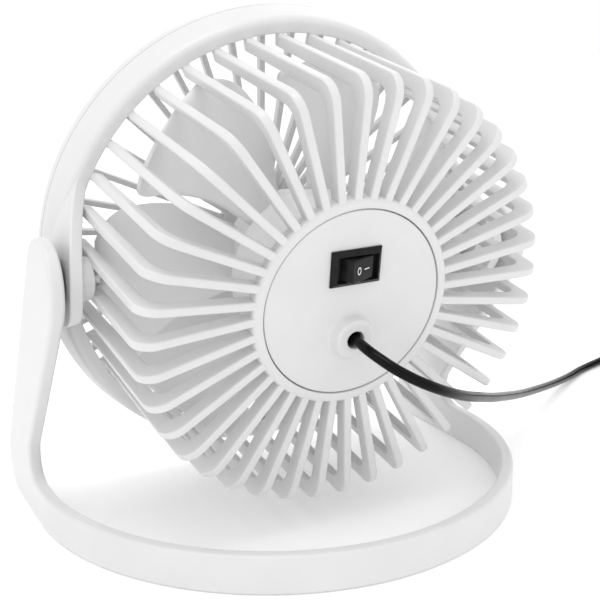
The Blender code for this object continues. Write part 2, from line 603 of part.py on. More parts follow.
def make_rotor(head, plastic, steel, iron):
    shaft_rear = MOTOR_REAR + 0.6 * MM
    shaft = rod(SHAFT_RADIUS, IMPELLER_FRONT + 2 * MM, shaft_rear, 12)
    place("motor_shaft", shaft, steel, head)
    front = MOTOR_FRONT + 3.2 * MM
    rear = MOTOR_REAR - 3.0 * MM
    inner = SHAFT_RADIUS + GAP
    outer = MOTOR_RADIUS - 3.2 * MM
    core = [(inner, front), (outer, front), (outer, rear), (inner, rear)]
    place("motor_rotor", turned(core, 24), iron, head)

    wall = 1.6 * MM
    outer, front, rear = IMPELLER_HUB_RADIUS, IMPELLER_FRONT, IMPELLER_REAR
    skin = front + 1.2 * MM
    socket_radius, socket_rear = 4 * MM, rear - 4 * MM
    hub = [
        (inner, skin + wall), (inner, socket_rear), (socket_radius, socket_rear),
        (socket_radius, skin + wall), (outer - 4 * MM, skin + wall),
        (outer - wall, front + 5 * MM), (outer - wall, rear), (outer, rear),
        (outer, front + 4 * MM), (outer - 2 * MM, skin), (outer - 5 * MM, front),
        (0, front - 0.8 * MM), (0, skin), (inner, skin),
    ]
    impeller = place("impeller", turned(hub, 40), plastic, head)
    blades = bmesh.new()
    for i in range(BLADE_COUNT):
        join(blades, blade_shape(SPIN_START + TAU * i / BLADE_COUNT))
    combine(impeller, tool("join_blades", blades, plastic, head), "UNION")


def blade_shape(start):
    """One blade: a thin twisted sheet with rounded tip corners, closed all round."""
    across, along = 7, 9
    made = bmesh.new()
    layers = []
    root = IMPELLER_HUB_RADIUS - 0.8 * MM
    middle = (IMPELLER_REAR + IMPELLER_FRONT) / 2
    for side in (-1, 1):
        grid = []
        for i in range(across):
            out = i / (across - 1)
            radius = root + (BLADE_TIP_RADIUS - root) * out
            narrow = 0.30 * max(0.0, (out - 0.62) / 0.38) ** 2.2
            row = []
            for j in range(along):
                share = j / (along - 1)
                place_on_span = 0.5 + (share - 0.5) * (1 - narrow)
                turn = start + BLADE_SPAN * place_on_span + BLADE_SWEEP * (out - 0.5)
                pitch = BLADE_PITCH * (1 - 0.15 * out)
                level = middle + pitch * (0.5 - share) + side * BLADE_THICKNESS / 2
                row.append(made.verts.new((radius * math.cos(turn), level,
                                           radius * math.sin(turn))))
            grid.append(row)
        layers.append(grid)
    for grid in layers:
        for a, b in zip(grid, grid[1:]):
            for k in range(along - 1):
                made.faces.new((a[k], a[k + 1], b[k + 1], b[k]))
    low, high = layers
    border = [(i, 0) for i in range(across)]
    border += [(across - 1, j) for j in range(1, along)]
    border += [(i, along - 1) for i in range(across - 2, -1, -1)]
    border += [(0, j) for j in range(along - 2, 0, -1)]
    for (a, b), (c, d) in zip(border, border[1:] + border[:1]):
        made.faces.new((low[a][b], low[c][d], high[c][d], high[a][b]))
    bmesh.ops.recalc_face_normals(made, faces=made.faces)
    return made


def make_pivot(finish, steel):
    """The pins and washers that the head tilts on: they stay with the stand."""
    at = (PIVOT_Y, PIVOT_HEIGHT)
    head_start = LUG_FACE - LUG_WIDTH - GAP - PIN_HEAD_WIDTH
    for side, hand in ((1, "right"), (-1, "left")):
        low, high = sorted((side * (head_start + 0.5 * MM), side * (ARM_INSIDE + PIN_IN_ARM)))
        pin = place(f"pivot_pin_{hand}", rod(PIN_RADIUS, low, high, across="X", at=at), steel)
        low, high = sorted((side * head_start, side * (head_start + PIN_HEAD_WIDTH)))
        button = rod(PIN_HEAD_RADIUS, low, high, across="X", at=at)
        combine(pin, tool(f"join_pin_head_{hand}", button, steel), "UNION")
        low, high = sorted((side * (LUG_FACE + GAP), side * (LUG_FACE + GAP + WASHER_WIDTH)))
        disc = rod(WASHER_RADIUS, low, high, 28, "X", at)
        washer = place(f"friction_washer_{hand}", disc, finish)
        hole = rod(PIN_RADIUS + GAP, low - 2 * MM, high + 2 * MM, across="X", at=at)
        combine(washer, tool(f"cut_washer_hole_{hand}", hole, finish), "DIFFERENCE")


# ---- wires and cord ------------------------------------------------------------------------
def smooth_points(route, spacing):
    """Points about spacing apart on the smooth curve through the route's own points."""
    knots = [Vector(p) for p in route]
    ends = [2 * knots[0] - knots[1]] + knots + [2 * knots[-1] - knots[-2]]
    fine = []
    for a, b, c, d in zip(ends, ends[1:], ends[2:], ends[3:]):
        for i in range(12):
            t = i / 12
            fine.append(0.5 * (2 * b + (c - a) * t + (2 * a - 5 * b + 4 * c - d) * t * t
                               + (3 * b - a - 3 * c + d) * t ** 3))
    fine.append(knots[-1])
    length = sum((b - a).length for a, b in zip(fine, fine[1:]))
    count = max(2, round(length / spacing))
    wanted, run, picked = [length * i / count for i in range(count)], 0.0, []
    for a, b in zip(fine, fine[1:]):
        step = (b - a).length
        while len(picked) < len(wanted) and wanted[len(picked)] <= run + step:
            picked.append(a.lerp(b, (wanted[len(picked)] - run) / step))
        run += step
    return picked + [knots[-1]]


def tube(name, route, diameter, finish, parent=None):
    curve = bpy.data.curves.new(name, "CURVE")
    curve.dimensions = "3D"
    curve.bevel_depth = diameter / 2
    curve.bevel_resolution = 2
    curve.use_fill_caps = True
    points = smooth_points([[c * MM for c in p] for p in route], 2.5 * diameter)
    spline = curve.splines.new("POLY")
    spline.points.add(len(points) - 1)
    for spot, point in zip(spline.points, points):
        spot.co = (*point, 1)
    curve.materials.append(finish)
    piece = bpy.data.objects.new(name, curve)
    bpy.context.scene.collection.objects.link(piece)
    piece.parent = parent
    return piece


def make_wires(head, red, black):
    """The motor's two leads inside the cup: one to the switch, one towards the cord."""
    rear = MOTOR_REAR / MM + 0.9
    switch_end = (SWITCH_BACK - GAP - TERMINAL_LENGTH) / MM - 0.9
    height = SWITCH_ABOVE_CENTRE / MM
    to_switch = [(7.5, rear, 4.0), (8.6, rear + 1.6, 7.0), (6.4, rear + 1.5, height - 1.4),
                 (TERMINAL_ASIDE / MM, switch_end, height)]
    to_cord = [(-7.5, rear, -2.0), (-9.5, rear + 2.2, -6.0), (-6.0, rear + 6.5, -9.6),
               (-2.0, rear + 8.6, -10.0)]
    tube("motor_lead_red", to_switch, LEAD_DIAMETER, red, head)
    tube("motor_lead_black", to_cord, LEAD_DIAMETER, black, head)


def make_cord(finish, metal, insert):
    tube("cord", CORD_ROUTE, CORD_DIAMETER, finish)
    top = COIL_FLOOR + COIL_WIDTH
    low, high = COIL_RADIUS - COIL_WIDTH / 2, COIL_RADIUS + COIL_WIDTH / 2
    soft = 1.4 * MM
    section = [(low, COIL_FLOOR + soft), (low + soft, COIL_FLOOR), (high - soft, COIL_FLOOR),
               (high, COIL_FLOOR + soft), (high, top - soft), (high - soft, top),
               (low + soft, top), (low, top - soft)]
    made = turned(section, 32)
    bmesh.ops.rotate(made, cent=(0, 0, 0), matrix=Matrix.Rotation(math.pi / 2, 3, "X"),
                     verts=made.verts)
    place("cord_coil", made, finish, None, (*COIL_CENTRE, 0))

    outside = TIE_THICKNESS + GAP
    tie = block((low - outside, -TIE_WIDTH / 2, 0), (high + outside, TIE_WIDTH / 2, top + outside))
    turn = (0, 0, TIE_ANGLE)
    tie_piece = place("coil_tie", tie, finish, None, (*COIL_CENTRE, 0), turn)
    inside = block((low - GAP, -TIE_WIDTH, COIL_FLOOR - GAP), (high + GAP, TIE_WIDTH, top + GAP))
    combine(tie_piece, tool("cut_tie", inside, finish, None, (*COIL_CENTRE, 0), turn), "DIFFERENCE")
    make_plug(finish, metal, insert)


def make_plug(finish, metal, insert):
    """A flat moulded plug lying on its wide side, with its metal shell and the insert in it."""
    at, turn = (*PLUG_START, 0), (0, 0, PLUG_DIRECTION)
    half, tall = PLUG_WIDTH / 2, PLUG_HEIGHT
    neck = CORD_DIAMETER / 2 + 0.8 * MM
    end = PLUG_TAPER + PLUG_LENGTH
    outline = [(0, -neck), (PLUG_TAPER, -neck), (PLUG_TAPER + 2.5 * MM, -half), (end, -half),
               (end, half), (PLUG_TAPER + 2.5 * MM, half), (PLUG_TAPER, neck), (0, neck)]
    body = place("usb_plug_body", plate(outline, 0, tall, "Z"), finish, None, at, turn)
    edges = body.modifiers.new("edges", "BEVEL")
    edges.width = 0.9 * MM
    edges.segments = 1
    edges.limit_method = "ANGLE"
    edges.angle_limit = math.radians(50)
    start = end + GAP
    middle = tall / 2
    shell = block((start, -SHELL_WIDTH / 2, middle - SHELL_HEIGHT / 2),
                  (start + SHELL_LENGTH, SHELL_WIDTH / 2, middle + SHELL_HEIGHT / 2))
    shell_piece = place("usb_plug_shell", shell, metal, None, at, turn)
    inner_width, inner_height = SHELL_WIDTH / 2 - SHELL_WALL, SHELL_HEIGHT / 2 - SHELL_WALL
    hollow = block((start + SHELL_WALL, -inner_width, middle - inner_height),
                   (start + SHELL_LENGTH + 2 * MM, inner_width, middle + inner_height))
    combine(shell_piece, tool("cut_shell", hollow, metal, None, at, turn), "DIFFERENCE")
    floor = middle - inner_height
    tongue = block((start + SHELL_WALL + GAP, -inner_width + GAP, floor + GAP),
                   (start + SHELL_LENGTH - 0.6 * MM, inner_width - GAP, floor + 1.9 * MM))
    place("usb_plug_tongue", tongue, insert, None, at, turn)


# ---- build ---------------------------------------------------------------------------------
def main():
    clear_scene()
    white = material("white_plastic", (0.80, 0.80, 0.80), 0.38)
    pale = material("impeller_plastic", (0.74, 0.74, 0.74), 0.42)
    black = material("black_plastic", (0.012, 0.012, 0.012), 0.35)
    rubber = material("cord_jacket", (0.008, 0.008, 0.008), 0.22)
    dark = material("washer_rubber", (0.05, 0.05, 0.05), 0.7)
    steel = material("steel", (0.55, 0.55, 0.55), 0.3, 1.0)
    iron = material("rotor_iron", (0.2, 0.2, 0.2), 0.5, 1.0)
    brass = material("brass", (0.70, 0.50, 0.20), 0.3, 1.0)
    red = material("red_wire", (0.45, 0.02, 0.02), 0.5)

    make_stand(white)
    make_pivot(dark, steel)
    head = bpy.data.objects.new("head_pivot", None)
    bpy.context.scene.collection.objects.link(head)
    head.location = (0, PIVOT_Y, PIVOT_HEIGHT)
    head.rotation_euler = (-HEAD_LEAN, 0, 0)
    make_rear_housing(head, white)
    make_front_grille(head, white)
    make_rear_cover(head, white)
    make_cord_bushing(head, black)
    make_switch(head, black, black, brass)
    make_motor(head, steel, brass, black)
    make_rotor(head, pale, steel, iron)
    make_wires(head, red, black)
    make_cord(rubber, steel, white)


main()
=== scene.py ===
# %% [markdown]
# # A small desk fan on a hoop stand
# The fan's frame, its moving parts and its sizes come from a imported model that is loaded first.
# This script adds what makes it look real: rounded mouldings, the legend on the switch, the wound
# lead and a finish for every part. Each piece is made around the frame's own measures.

# %% Load the frame
import json
import math

import bmesh
import bpy
from mathutils import Matrix, Vector


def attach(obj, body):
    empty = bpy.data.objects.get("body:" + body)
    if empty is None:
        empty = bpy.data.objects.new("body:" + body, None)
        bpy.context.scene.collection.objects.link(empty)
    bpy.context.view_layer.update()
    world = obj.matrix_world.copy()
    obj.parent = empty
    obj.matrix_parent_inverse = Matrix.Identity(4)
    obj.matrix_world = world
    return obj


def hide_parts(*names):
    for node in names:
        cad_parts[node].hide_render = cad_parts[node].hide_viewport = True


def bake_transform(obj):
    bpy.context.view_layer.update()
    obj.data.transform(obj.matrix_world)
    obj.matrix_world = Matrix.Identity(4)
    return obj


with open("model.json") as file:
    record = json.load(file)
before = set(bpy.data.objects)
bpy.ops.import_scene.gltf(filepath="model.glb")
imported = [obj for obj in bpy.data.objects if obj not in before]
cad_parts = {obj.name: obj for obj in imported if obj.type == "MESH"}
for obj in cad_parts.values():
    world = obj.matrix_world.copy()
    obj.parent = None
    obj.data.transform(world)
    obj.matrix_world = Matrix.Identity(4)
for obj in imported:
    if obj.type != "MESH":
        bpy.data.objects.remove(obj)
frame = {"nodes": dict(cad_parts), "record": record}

MM = 0.001
TAU = 2 * math.pi
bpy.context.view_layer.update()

# %% [markdown]
# ## The camera and the lights
# A small product is usually photographed with a longish lens from a little above. The camera is
# placed by two points: where it stands and what it looks at. The light is a bright even
# surround, with one large soft lamp above for gentle shading and a weaker one from the side.

# %% Camera
CAMERA_AT = Vector((137.8, 262.8, 134.9)) * MM
CAMERA_LOOKS_AT = Vector((-4.2, -8.5, 61.0)) * MM
camera = bpy.data.cameras.new("camera")
camera.sensor_width = 36
camera.lens = 61.8
camera.clip_start = 0.01
camera_object = bpy.data.objects.new("camera", camera)
bpy.context.scene.collection.objects.link(camera_object)
camera_object.location = CAMERA_AT
camera_object.rotation_euler = (CAMERA_LOOKS_AT - CAMERA_AT).to_track_quat("-Z", "Y").to_euler()
bpy.context.scene.camera = camera_object
print("camera is", round((CAMERA_LOOKS_AT - CAMERA_AT).length, 3), "m from what it looks at")

# %% Lamps and surround
def soft_lamp(name, at, aim, size, power):
    lamp = bpy.data.lights.new(name, "AREA")
    lamp.shape = "DISK"
    lamp.size = size
    lamp.energy = power
    piece = bpy.data.objects.new(name, lamp)
    bpy.context.scene.collection.objects.link(piece)
    piece.location = at
    piece.rotation_euler = (Vector(aim) - Vector(at)).to_track_quat("-Z", "Y").to_euler()

soft_lamp("lamp_above", (0.15, 0.10, 0.80), (0, 0, 0.07), 0.40, 1.25)
soft_lamp("lamp_side", (0.70, 0.10, 0.30), (0, 0, 0.07), 0.45, 0.12)
soft_lamp("lamp_front", (-0.35, -0.60, 0.45), (0, 0, 0.07), 0.60, 0.50)
surround = bpy.data.worlds.new("surround")
surround.use_nodes = True
lit = surround.node_tree.nodes["Background"]
lit.inputs["Color"].default_value = (1, 1, 1, 1)
lit.inputs["Strength"].default_value = 1.0
bpy.context.scene.world = surround
bpy.context.scene.view_settings.view_transform = "Standard"

# %% [markdown]
# ## Writing a finish as arithmetic
# A finish is a small graph of nodes. Placing nodes one by one is slow to read, so two helper
# classes hide that: Value wraps a node's output and turns plus, minus and times into Math nodes,
# and Finish owns one material and makes any other node from its type, its settings and its inputs.

# %% The Value and Finish classes
class Value:
    """A node's output that can be used in arithmetic like a number."""

    def __init__(self, finish, socket):
        self.finish, self.socket = finish, socket

    def math(self, operation, first, second=0.0):
        return self.finish.node("ShaderNodeMath", {"operation": operation}, {0: first, 1: second})

    def __add__(self, other):
        return self.math("ADD", self, other)

    def __radd__(self, other):
        return self.math("ADD", other, self)

    def __sub__(self, other):
        return self.math("SUBTRACT", self, other)

    def __rsub__(self, other):
        return self.math("SUBTRACT", other, self)

    def __mul__(self, other):
        return self.math("MULTIPLY", self, other)

    def __rmul__(self, other):
        return self.math("MULTIPLY", other, self)

    def __pow__(self, other):
        return self.math("POWER", self, other)

    def over(self, level, softness):
        """0 below a level and 1 above it, with a soft step between."""
        return self.finish.node(
            "ShaderNodeMapRange", {"interpolation_type": "SMOOTHSTEP"},
            {"Value": self, "From Min": level - softness, "From Max": level + softness})


class Finish:
    """One material. Its constants go straight onto the shader's own sockets."""

    def __init__(self, name, **constants):
        self.material = bpy.data.materials.new(name)
        self.material.use_nodes = True
        self.tree = self.material.node_tree
        self.shader = self.tree.nodes["Principled BSDF"]
        for socket, value in constants.items():
            self.shader.inputs[socket.replace("_", " ")].default_value = value

    def node(self, kind, settings=None, inputs=None, output=0):
        made = self.tree.nodes.new(kind)
        for setting, value in (settings or {}).items():
            setattr(made, setting, value)
        for socket, value in (inputs or {}).items():
            if isinstance(value, Value):
                self.tree.links.new(value.socket, made.inputs[socket])
            else:
                made.inputs[socket].default_value = value
        return Value(self, made.outputs[output])

    def place(self, stretch=(1, 1, 1)):
        """Where a point is on the object, in metres, stretched or squeezed along each axis."""
        spot = self.node("ShaderNodeTexCoord", output="Object")
        return self.node("ShaderNodeMapping", {}, {"Vector": spot, "Scale": stretch})

    def speckle(self, size, detail=2.0, stretch=(1, 1, 1), roughness=0.5):
        """Soft random mottling with features about this large, in metres."""
        return self.node("ShaderNodeTexNoise", {}, {
            "Vector": self.place(stretch), "Scale": 1 / size, "Detail": detail,
            "Roughness": roughness})

    def colour(self, amount, low, high):
        """A colour between low and high."""
        return self.node("ShaderNodeMix", {"data_type": "RGBA"}, {
            0: amount, 6: (*low, 1), 7: (*high, 1)}, output=2)

    def feed(self, socket, value):
        self.tree.links.new(value.socket, self.shader.inputs[socket])
        return self

    def bump(self, height, depth, strength=1.0):
        """Raise the surface by a height from 0 to 1 times depth, in metres."""
        return self.feed("Normal", self.node("ShaderNodeBump", {}, {
            "Height": height, "Distance": depth, "Strength": strength}))

# %% [markdown]
# ## Finishes
# The housing is white ABS from a lightly textured mould: satin, with a grain that is too fine to
# see but breaks up reflections, and faint flow clouds. The switch and the lead are black, but
# different: the switch's bezel is matt and sparked, its rocker is smoother, and the lead's jacket
# is glossy with lengthwise drag marks. Metal parts get turning marks or plating haze.
# Each could be one flat colour, and would then look like a toy; small changes in roughness and
# height do most of the work here because the eye reads plastics by their highlights.

# %% White housing plastic
def moulded_white(name, bright, dull, rough=0.36):
    finish = Finish(name, IOR=1.49, Specular_IOR_Level=0.5)
    clouds = finish.speckle(14 * MM, detail=3)
    grain = finish.speckle(0.35 * MM, detail=2)
    sink = finish.speckle(5 * MM, detail=1)
    finish.feed("Base Color", finish.colour(clouds.over(0.5, 0.28), dull, bright))
    finish.feed("Roughness", clouds * 0.10 + grain * 0.06 + (rough - 0.08))
    finish.bump(grain * 0.35 + sink * 0.65, 0.03 * MM, 0.5)
    return finish.material

white_plastic = moulded_white("white_plastic", (0.735, 0.735, 0.733), (0.71, 0.71, 0.709))
impeller_plastic = moulded_white("impeller_plastic", (0.80, 0.80, 0.80), (0.77, 0.772, 0.773), 0.42)

# %% Black plastics
def black_moulding(name, rough, grain_size, grain_depth):
    finish = Finish(name, IOR=1.5, Specular_IOR_Level=0.15)
    grain = finish.speckle(grain_size, detail=3, roughness=0.6)
    wear = finish.speckle(3.5 * MM, detail=3)
    finish.feed("Base Color", finish.colour(wear.over(0.55, 0.2), (0.010, 0.010, 0.011),
                                            (0.017, 0.017, 0.018)))
    finish.feed("Roughness", wear * 0.12 + grain * 0.10 + (rough - 0.11))
    finish.bump(grain, grain_depth, 0.6)
    return finish.material

bezel_black = black_moulding("bezel_black", 0.42, 0.28 * MM, 0.05 * MM)
rocker_black = black_moulding("rocker_black", 0.24, 0.6 * MM, 0.010 * MM)
plain_black = black_moulding("plain_black", 0.45, 0.5 * MM, 0.03 * MM)

# %% Lead jacket, tie and plug
def jacket(name, rough):
    finish = Finish(name, IOR=1.52, Specular_IOR_Level=0.10, Coat_Roughness=0.10)
    drag = finish.speckle(1.6 * MM, detail=3)
    dust = finish.speckle(9 * MM, detail=4, roughness=0.65)
    finish.feed("Base Color", finish.colour(dust.over(0.62, 0.12), (0.003, 0.003, 0.0033),
                                            (0.006, 0.006, 0.0065)))
    finish.feed("Roughness", drag * 0.10 + dust * 0.08 + (rough - 0.09))
    finish.feed("Coat Weight", 0.07 - dust * 0.04)
    finish.bump(drag, 0.02 * MM, 0.5)
    return finish.material

cord_jacket = jacket("cord_jacket", 0.22)
tie_rubber = jacket("tie_rubber", 0.38)
plug_rubber = jacket("plug_rubber", 0.40)

# %% Washers, legend and the lead's inner wires
def rubbery(name, colour, rough, grain=0.4 * MM, depth=0.03 * MM):
    finish = Finish(name, IOR=1.5)
    speck = finish.speckle(grain, detail=3)
    shade = finish.speckle(4 * MM, detail=2)
    light = tuple(min(1.0, c * 1.25 + 0.002) for c in colour)
    finish.feed("Base Color", finish.colour(shade, colour, light))
    finish.feed("Roughness", speck * 0.12 + (rough - 0.06))
    finish.bump(speck, depth, 0.6)
    return finish.material

washer_rubber = rubbery("washer_rubber", (0.055, 0.055, 0.056), 0.75)
legend_white = rubbery("legend_white", (0.78, 0.78, 0.77), 0.55, 0.25 * MM, 0.01 * MM)
red_wire = rubbery("red_wire", (0.42, 0.022, 0.020), 0.42)
black_wire = rubbery("black_wire", (0.010, 0.010, 0.011), 0.40)
plug_insert = rubbery("plug_insert", (0.76, 0.77, 0.78), 0.45)

# %% Metals
def metal(name, dark, light, rough, size=1.2 * MM, stretch=(1, 1, 1)):
    finish = Finish(name, Metallic=1.0)
    marks = finish.speckle(size, detail=4, stretch=stretch, roughness=0.6)
    haze = finish.speckle(7 * MM, detail=2)
    finish.feed("Base Color", finish.colour(haze, dark, light))
    finish.feed("Roughness", marks * 0.16 + haze * 0.10 + (rough - 0.13))
    finish.bump(marks, 0.01 * MM, 0.4)
    return finish.material

plated_steel = metal("plated_steel", (0.58, 0.58, 0.59), (0.70, 0.70, 0.70), 0.27)
rotor_iron = metal("rotor_iron", (0.16, 0.16, 0.17), (0.27, 0.27, 0.27), 0.50, 0.5 * MM, (1, 6, 1))
brass = metal("brass", (0.66, 0.46, 0.18), (0.80, 0.60, 0.30), 0.30)
print("finishes made:", len(bpy.data.materials))

# %% [markdown]
# ## Working level, placing leaned back
# The head leans back on the stand. It is far easier to model it upright, with its axis along Y
# and its pivot at the origin, and to lean the finished mesh. The frame's own joints give the
# pivot and the axis, so the lean is not typed in twice.

# %% The head's place
joints = {joint["name"]: joint for joint in frame["record"]["behaviour"]["joints"]}
PIVOT = Vector(joints["head_tilt"]["pos_m"])
HEAD_AXIS = Vector(joints["impeller_spin"]["axis"])
LEAN_BACK = Vector((0, 1, 0)).rotation_difference(HEAD_AXIS).to_matrix().to_4x4()
HEAD = Matrix.Translation(PIVOT) @ LEAN_BACK
print("head leans", round(math.degrees(HEAD_AXIS.angle((0, 1, 0))), 2), "degrees")

# %% Turning a bmesh into a finished piece
def make_piece(name, shape, finish, body, where=None, stands_for=(), corner=38, weigh=False):
    """Put a bmesh in the scene as a piece of the object that moves with one of its bodies."""
    bmesh.ops.remove_doubles(shape, verts=shape.verts, dist=1e-7)
    bmesh.ops.recalc_face_normals(shape, faces=shape.faces)
    if where is not None:
        bmesh.ops.transform(shape, matrix=where, verts=shape.verts)
    mesh = bpy.data.meshes.new(name)
    shape.to_mesh(mesh)
    shape.free()
    mesh.shade_smooth()
    mesh.set_sharp_from_angle(angle=math.radians(corner))
    mesh.materials.append(finish)
    piece = bpy.data.objects.new(name, mesh)
    bpy.context.scene.collection.objects.link(piece)
    if weigh:
        piece.modifiers.new("even_shading", "WEIGHTED_NORMAL").keep_sharp = True
    if body:
        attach(piece, body)
    if stands_for:
        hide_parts(*stands_for)
    print(f"{name}: {sum(len(face.vertices) - 2 for face in mesh.polygons)} triangles")
    return piece

# %% Shapes that several pieces start from
def turned(outline, steps, closed=True):
    """Spin an outline of (radius, place along the axis) all the way round the Y axis."""
    shape = bmesh.new()
    points = [shape.verts.new((radius, along, 0)) for radius, along in outline]
    pairs = list(zip(points, points[1:])) + ([(points[-1], points[0])] if closed else [])
    edges = [shape.edges.new(pair) for pair in pairs]
    bmesh.ops.spin(shape, geom=points + edges, cent=(0, 0, 0), axis=(0, 1, 0),
                   angle=TAU, steps=steps, use_merge=True)
    bmesh.ops.remove_doubles(shape, verts=shape.verts, dist=1e-6)
    bmesh.ops.dissolve_degenerate(shape, edges=shape.edges, dist=1e-7)
    return shape


def slab(outline, low, high, axis="Z"):
    """A flat outline given thickness. For axis X the outline is (y, z), for axis Z it is (x, y)."""
    shape = bmesh.new()
    spots = [(low, a, b) if axis == "X" else (a, b, low) for a, b in outline]
    face = shape.faces.new([shape.verts.new(spot) for spot in spots])
    grown = bmesh.ops.extrude_face_region(shape, geom=[face])
    moved = [item for item in grown["geom"] if isinstance(item, bmesh.types.BMVert)]
    shift = (high - low, 0, 0) if axis == "X" else (0, 0, high - low)
    bmesh.ops.translate(shape, verts=moved, vec=shift)
    bmesh.ops.recalc_face_normals(shape, faces=shape.faces)
    return shape


def soften(shape, width, steps=3, angle=40):
    """Round every edge that turns more than an angle."""
    edges = [edge for edge in shape.edges
             if edge.is_manifold and edge.calc_face_angle() > math.radians(angle)]
    bmesh.ops.bevel(shape, geom=edges, offset=width, offset_type="OFFSET", segments=steps,
                    profile=0.5, affect="EDGES", material=-1, clamp_overlap=True)
    return shape


def box(low, high):
    shape = bmesh.new()
    low, high = Vector(low), Vector(high)
    bmesh.ops.create_cube(shape, size=1, matrix=Matrix.Translation((low + high) / 2)
                          @ Matrix.Diagonal((*(high - low), 1)))
    return shape


def add(target, source, matrix=None):
    """Put the faces of source into target as well."""
    if matrix is not None:
        bmesh.ops.transform(source, matrix=matrix, verts=source.verts)
    spare = bpy.data.meshes.new("spare")
    source.to_mesh(spare)
    source.free()
    target.from_mesh(spare)
    bpy.data.meshes.remove(spare)
    return target


def cut(shape, *cutters):
    """Take other shapes out of one, with a Boolean that is applied at once."""
    def loose(source):
        bmesh.ops.recalc_face_normals(source, faces=source.faces)
        mesh = bpy.data.meshes.new("spare")
        source.to_mesh(mesh)
        source.free()
        piece = bpy.data.objects.new("spare", mesh)
        bpy.context.scene.collection.objects.link(piece)
        return piece

    block, knives = loose(shape), [loose(cutter) for cutter in cutters]
    for knife in knives:
        step = block.modifiers.new("cut", "BOOLEAN")
        step.operation, step.solver, step.object = "DIFFERENCE", "EXACT", knife
    ready = block.evaluated_get(bpy.context.evaluated_depsgraph_get())
    result = bmesh.new()
    result.from_mesh(ready.to_mesh())
    ready.to_mesh_clear()
    for piece in (block, *knives):
        mesh = piece.data
        bpy.data.objects.remove(piece)
        bpy.data.meshes.remove(mesh)
    return result


def rounded(start, corner, end, radius, steps):
    """Points of the arc that rounds a corner between two straight edges."""
    start, corner, end = Vector(start), Vector(corner), Vector(end)
    back, on = (start - corner).normalized(), (end - corner).normalized()
    half = back.angle(on) / 2
    centre = corner + (back + on).normalized() * radius / math.sin(half)
    first = corner + back * radius / math.tan(half)
    turn = math.pi - 2 * half
    side = 1 if back.cross(on) < 0 else -1
    arm = first - centre
    return [tuple(centre + Matrix.Rotation(side * turn * i / steps, 2) @ arm)
            for i in range(steps + 1)]

# %% [markdown]
# ## The lead
# A flexible lead is one long tube along a smooth line. It leaves the boss square to the cover,
# sags under its own weight, reaches the table, and its spare length is wound into a neat coil
# held by a tie. The line could be left as a curve object, but the tube is made a mesh once its
# line is right.

# %% The lead's route from the boss to the coil, in millimetres
LEAD_RADIUS = 1.5 * MM
LEAD_ROUTE = [
    (0.0, 30.3, 59.3), (0.0, 34.2, 58.6), (0.0, 38.2, 57.8), (-1.0, 42.0, 56.5),
    (-3.6, 46.4, 54.2), (-7.4, 49.6, 51.8), (-12.6, 51.0, 49.2), (-20.0, 48.5, 45.8),
    (-30.0, 42.2, 41.4), (-42.0, 33.0, 36.4), (-55.0, 22.5, 31.0), (-68.0, 11.8, 26.0),
    (-82.0, 0.4, 20.8), (-96.0, -10.8, 16.0), (-111.0, -22.0, 11.6), (-126.0, -32.6, 7.7),
    (-140.0, -42.0, 4.6), (-153.5, -50.4, 2.4), (-166.0, -57.2, 1.6), (-177.0, -61.2, 1.6),
    (-186.5, -64.4, 1.6), (-194.2, -66.3, 1.8),
]
COIL_CENTRE = Vector((-212.0, -49.0, 0)) * MM
TURN_RADII = (21.2, 18.0, 14.8, 14.8, 18.0, 21.2, 21.2)      # one for each turn, in mm
TURN_HEIGHTS = (2.6, 2.6, 2.6, 5.8, 5.8, 5.8, 9.0)
COIL_START = -75.0                                           # degrees, where the lead joins it
MOVE_OVER, MOVE_UP = (-80.0, -40.0), (-40.0, 0.0)            # where a turn changes place
PLUG_START = Vector((-234.8, -27.0, 4.0)) * MM
PLUG_HEADING = math.radians(46)
TAIL_TURN = 149.0                                            # degrees from last turn to plug
TAIL_RADIUS = 31.7


def ease(share):
    share = min(1.0, max(0.0, share))
    return share * share * (3 - 2 * share)


def coil_line(step=7.5):
    """The turns of the coil, wound clockwise in layers, and the short tail out to the plug."""
    points = []
    total = len(TURN_RADII) * 360 + TAIL_TURN
    count = round(total / step)
    for i in range(count + 1):
        wound = total * i / count
        turn, into = divmod(wound, 360.0)
        turn = min(int(turn), len(TURN_RADII) - 1)
        into = wound - 360 * turn
        radius, height = TURN_RADII[turn], TURN_HEIGHTS[turn]
        over = ease((into - 360 - MOVE_OVER[0]) / (MOVE_OVER[1] - MOVE_OVER[0]))
        up = ease((into - 360 - MOVE_UP[0]) / (MOVE_UP[1] - MOVE_UP[0]))
        if turn + 1 < len(TURN_RADII):
            radius += (TURN_RADII[turn + 1] - radius) * over
            height += (TURN_HEIGHTS[turn + 1] - height) * up
        else:
            leaving = (into - 360 - MOVE_OVER[0]) / (TAIL_TURN - MOVE_OVER[0])
            radius += 3.4 * over + (TAIL_RADIUS - radius - 3.4) * ease((leaving - 0.3) / 0.7) * over
            height += (PLUG_START.z / MM - height) * ease((leaving - 0.35) / 0.65)
        angle = math.radians(COIL_START - wound)
        points.append(COIL_CENTRE + Vector((radius * math.cos(angle), radius * math.sin(angle),
                                            height)) * MM)
    return points


